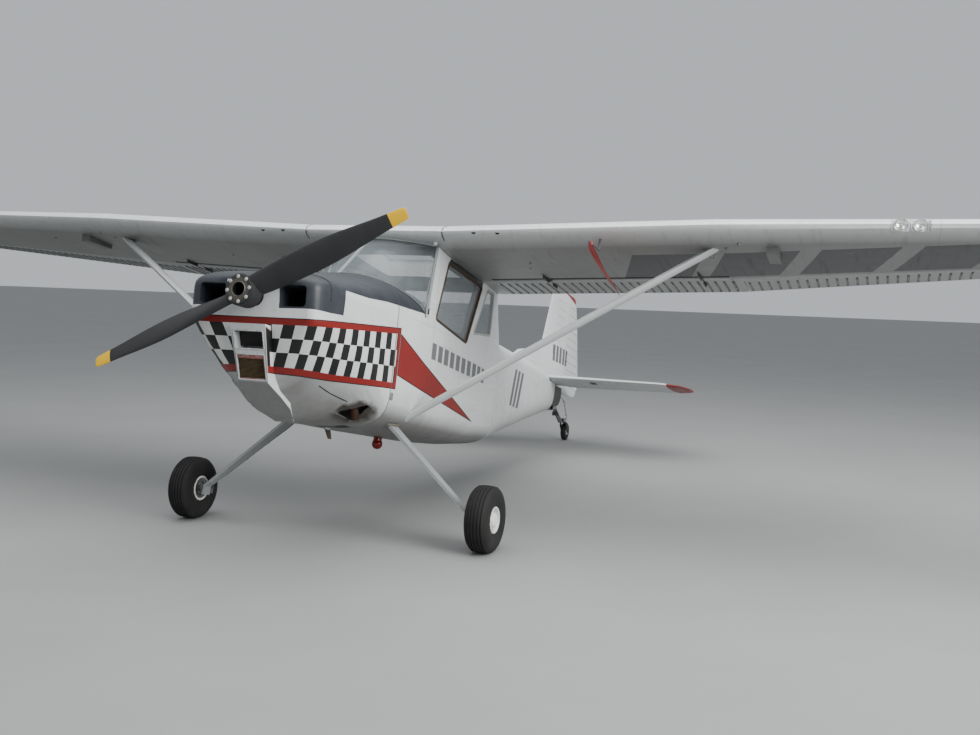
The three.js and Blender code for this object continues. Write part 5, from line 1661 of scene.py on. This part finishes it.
        # Lamp bowls behind the port lens, and metal strips at its edges
        bowls, strips = bmesh.new(), bmesh.new()
        tree = skin("wing_port", "landing_lights")
        for x in (3720, 3840):
            front = wing_front(x)
            dish = [(0.0, 0.003), (0.003, 0.016), (0.01, 0.029), (0.022, 0.04), (0.026, 0.0425),
                    (0.026, 0.044), (0.02, 0.0445)]
            turned(bowls, dish, at(x, front + 44, 893), heading(0, -1, 0), 40)
            turned(bowls, [(0.0, 0.006), (0.012, 0.0065), (0.017, 0.004), (0.018, 0.0)],
                   at(x, front + 44, 893), heading(0, -1, 0), 20)
        for x in (3660, 3780, 3903):
            front = wing_front(x)
            core = at(x, front + 60, 890)
            points = [at(x, front + 60 - 220 * math.cos(a), 890 + 220 * math.sin(a))
                      for a in (math.radians(-62 + 10 * k) for k in range(13))]
            bead(strips, tree, points, [core - p for p in points], 0.006, 0.002)
        piece("lamp_bowls", bowls, bare_metal("silvered bowl", "ECECE8", 0.08, (9, 9, 9), "B9B6AC"),
              "airframe", 40)
        piece("lamp_strips", strips, trim, "airframe", 40)
        return {"FINISHED"}


class AIRCRAFT_OT_probe(bpy.types.Operator):
    """Slip a red loop over the air probe and hang the streamer from it."""

    bl_idname = "aircraft.probe"
    bl_label = "Probe streamer"

    def execute(self, context):
        sizes = context.scene.aircraft_sizes
        cloth = nylon_webbing()
        bm = bmesh.new()
        loop = [(0.0, 0.0095), (0.0, 0.011), (0.004, 0.0125), (0.012, 0.0118), (0.02, 0.013), (0.03, 0.0122),
                (0.038, 0.0128), (0.042, 0.011), (0.042, 0.0095), (0.0, 0.0095)]
        turned(bm, loop, at(1740, 1412, 674), heading(0, 1, 0.02), 28)
        cover = piece("probe_loop", bm, cloth, "airframe", 50)

        line = smooth_line([at(1741, 1420, 659), at(1752, 1452, 622), at(1785, 1567, 543),
                            at(1812, 1742, 480), at(1836, 1945, 427)], 8)
        half = sizes.streamer_width / 2
        ups = []
        for k, _ in enumerate(line):
            turn = math.radians(22 + 34 * (k / (len(line) - 1)) ** 2.0 + 4 * math.sin(0.45 * k))
            ups.append(Vector((math.sin(turn), 0.25, math.cos(turn))))
        stops = stops_along(line, ups)
        bm = bmesh.new()
        sweep(bm, [(half * k / 4, 0.0022 * math.cos(1.6 * k)) for k in range(-4, 5)], stops, caps=False)
        strip = piece("probe_streamer", bm, cloth, "airframe", 80)
        return {"FINISHED"}


class AIRCRAFT_OT_tail(bpy.types.Operator):
    """Bead the tail's moving surfaces and fit its lamp, springs, clamps and boot."""

    bl_idname = "aircraft.tail"
    bl_label = "Tail fittings"

    def execute(self, context):
        rise = context.scene.aircraft_sizes.bead_height
        steel = fastener_steel()
        rubber = gasket_rubber()
        up, down = heading(0, 0, 1), heading(0, 0, -1)
        bm = bmesh.new()
        tree = skin("elevators")
        for side in (1, -1):
            for x in range(190, 1500, 92):
                last = 7010 - 0.097 * x - 30
                line = [6606 + (last - 6606) * k / 6 for k in range(7)]
                bead(bm, tree, [at(side * x, s, 600) for s in line], down, 0.01, rise * 0.8)
                bead(bm, tree, [at(side * x, s, -200) for s in line], up, 0.01, rise * 0.8)
        piece("elevator_beads", bm, tail_enamel(), "elevator_pair", 50)
        bm = bmesh.new()
        tree = skin("rudder")
        fin = skin("fin")
        fin_lines = bmesh.new()
        for w in range(230, 1260, 94):
            for side in (1, -1):
                bead(bm, tree, [at(side * 400, s, w) for s in range(6880, 7520, 50)], (-side, 0, 0), 0.009,
                     rise * 0.8)
                if w > 700:
                    bead(fin_lines, fin, [at(side * 400, s, w) for s in range(6420, 6780, 50)], (-side, 0, 0),
                         0.007, rise * 0.5)
        piece("rudder_beads", bm, tail_enamel(), "rudder_body", 50)
        piece("fin_beads", fin_lines, tail_enamel(), "airframe", 50)
        bm = bmesh.new()
        dome = [(-0.02, 0.0), (-0.02, 0.02), (0.006, 0.02), (0.012, 0.017), (0.018, 0.01), (0.02, 0.0)]
        turned(bm, dome, at(0, 7520, 238), heading(0, 1, 0), 28)
        piece("tail_lamp", bm, clear_acrylic("clear tip lens", "E4E6E2", 0.8, 0.1, 0.95), "rudder_body",
              35)
        bm = bmesh.new()
        for side in (1, -1):
            start, end = at(side * 58, 6880, 22), at(side * 56, 7030, -130)
            coil(bm, start, end, 0.0085, 14, 0.0017)
            tube(bm, [end, at(side * 55, 7075, -176)], 0.003, (1, 0, 0), 8)
            tube(bm, [at(side * 40, 6790, 60), start], 0.003, (1, 0, 0), 8)
            for place in (start, end):
                turned(bm, [(-0.004, 0.0), (-0.004, 0.009), (0.004, 0.009), (0.004, 0.0)], place,
                       heading(0, 0.7, -0.7), 16)
        piece("steering_springs", bm, steel, "airframe", 40)

        # Leaf clamps on the tail spring, and the boot where it leaves the cone
        bm = bmesh.new()
        for s, w, lean in ((6500, -96, 12), (6760, -140, 16), (7020, -196, 20)):
            place = level_frame(0, s, w, math.radians(-lean))
            boxed(bm, (-0.035, -0.012, -0.022), (0.035, 0.012, 0.022), place, 0.003, 2)
            for a in (-0.028, 0.028):
                bolt(bm, place @ Vector((a, 0, -0.022)), place.to_3x3() @ Vector((0, 0, -1)), 0.006, 0.006)
        piece("spring_clamps", bm, fork_enamel(), "airframe", 35)
        bm = bmesh.new()
        place = level_frame(0, 6462, -90)
        folds = ((1.35, -0.03), (1.2, 0.0), (1.28, 0.012), (1.1, 0.03), (1.16, 0.042), (1.0, 0.056))
        loops = []
        for grow, aft in folds:
            flat = [Vector((a * grow / 1000, aft, b * grow / 1000)) for a, b in oblong(40, 22, 12)]
            ring = [bm.verts.new(place @ p) for p in flat]
            loops.append([bm.edges.new(pair) for pair in zip(ring, ring[1:] + ring[:1])])
        for before, after in zip(loops, loops[1:]):
            bmesh.ops.bridge_loops(bm, edges=before + after)
        bmesh.ops.solidify(bm, geom=bm.faces[:], thickness=0.002)
        piece("spring_boot", bm, rubber, "airframe", 50)
        return {"FINISHED"}


class AIRCRAFT_OT_gear(bpy.types.Operator):
    """Run the brake hoses down the legs and fit their clips, the legs' seals and the door handle."""

    bl_idname = "aircraft.gear"
    bl_label = "Gear and door fittings"

    def execute(self, context):
        steel = fastener_steel()
        rubber = gasket_rubber()
        for side, name in SIDES:
            bm, clips = bmesh.new(), bmesh.new()
            line = [(404, 1510, -690), (470, 1506, -752), (620, 1497, -876), (780, 1489, -1010),
                    (930, 1480, -1136), (1012, 1474, -1203), (1056, 1490, -1240), (1074, 1498, -1262)]
            tube(bm, smooth_line([at(side * x, s, w) for x, s, w in line], 5), 0.004, (0, 1, 0), 8)
            for x, s, w in line[2:5]:
                held = frame_at(at(side * x, s - 4, w), heading(side * 158, -8, -130), heading(0, 1, 0))
                boxed(clips, (-0.007, -0.009, -0.006), (0.007, 0.007, 0.006), held, 0.0015, 2)
            seal, flat = bmesh.new(), oblong(72, 18, 12)
            places = [at(side * (408 + 0.657 * b), 1441 + a, -686 + 0.753 * b) for a, b in flat]
            hoop(seal, places, heading(side * 0.753, 0, -0.657), 0.007)
            piece("leg_seal_" + name, seal, plain_enamel("sealant", "A79F8E", 0.7, "6C6455", 0.6, 0.4),
                  "airframe", 60)
            piece("brake_hose_" + name, bm, rubber, "airframe", 60)
            piece("hose_clips_" + name, clips, steel, "airframe", 35)
        bm = bmesh.new()
        hub = at(-484, 2452, -160)
        turned(bm, [(0.0, 0.026), (0.004, 0.025), (0.007, 0.018), (0.016, 0.011), (0.02, 0.011),
                    (0.02, 0.0)], hub, (-1, 0, 0), 32)
        boxed(bm, (-0.0215, -0.118, -0.008), (-0.0135, 0.014, 0.008), level_frame(-484, 2452, -160), 0.003, 3)
        piece("door_handle", bm, steel, "door", 35)
        return {"FINISHED"}


PANEL = (
    AIRCRAFT_OT_stage,
    AIRCRAFT_OT_skins,
    AIRCRAFT_OT_propeller,
    AIRCRAFT_OT_main_wheels,
    AIRCRAFT_OT_nose,
    AIRCRAFT_OT_glazing,
    AIRCRAFT_OT_cabin,
    AIRCRAFT_OT_wings,
    AIRCRAFT_OT_probe,
    AIRCRAFT_OT_tail,
    AIRCRAFT_OT_gear,
)


class AIRCRAFT_PT_panel(bpy.types.Panel):
    """Shows the aircraft's colours, sizes and stage, and a button for each builder."""

    bl_idname = "AIRCRAFT_PT_panel"
    bl_label = "Light aircraft"
    bl_space_type = "VIEW_3D"
    bl_region_type = "UI"
    bl_category = "Aircraft"

    def draw(self, context):
        for held in GROUPS:
            group = getattr(context.scene, held)
            column = self.layout.column(align=True)
            for name in type(group).__annotations__:
                column.prop(group, name)
        for operator in PANEL:
            self.layout.operator(operator.bl_idname)


GROUPS = {"aircraft_paint": AircraftPaint, "aircraft_sizes": AircraftSizes, "aircraft_stage": AircraftStage}
CLASSES = (*GROUPS.values(), *PANEL, AIRCRAFT_PT_panel)


def register():
    for one in CLASSES:
        bpy.utils.register_class(one)
    for name, group in GROUPS.items():
        setattr(bpy.types.Scene, name, bpy.props.PointerProperty(type=group))


def unregister():
    for name in GROUPS:
        delattr(bpy.types.Scene, name)
    for one in reversed(CLASSES):
        bpy.utils.unregister_class(one)


def main():
    """Builds every piece in order."""
    import json

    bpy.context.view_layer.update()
    register()
    for operator in PANEL:
        group, name = operator.bl_idname.split(".")
        getattr(getattr(bpy.ops, group), name)()


if __name__ == "__main__":
    main()
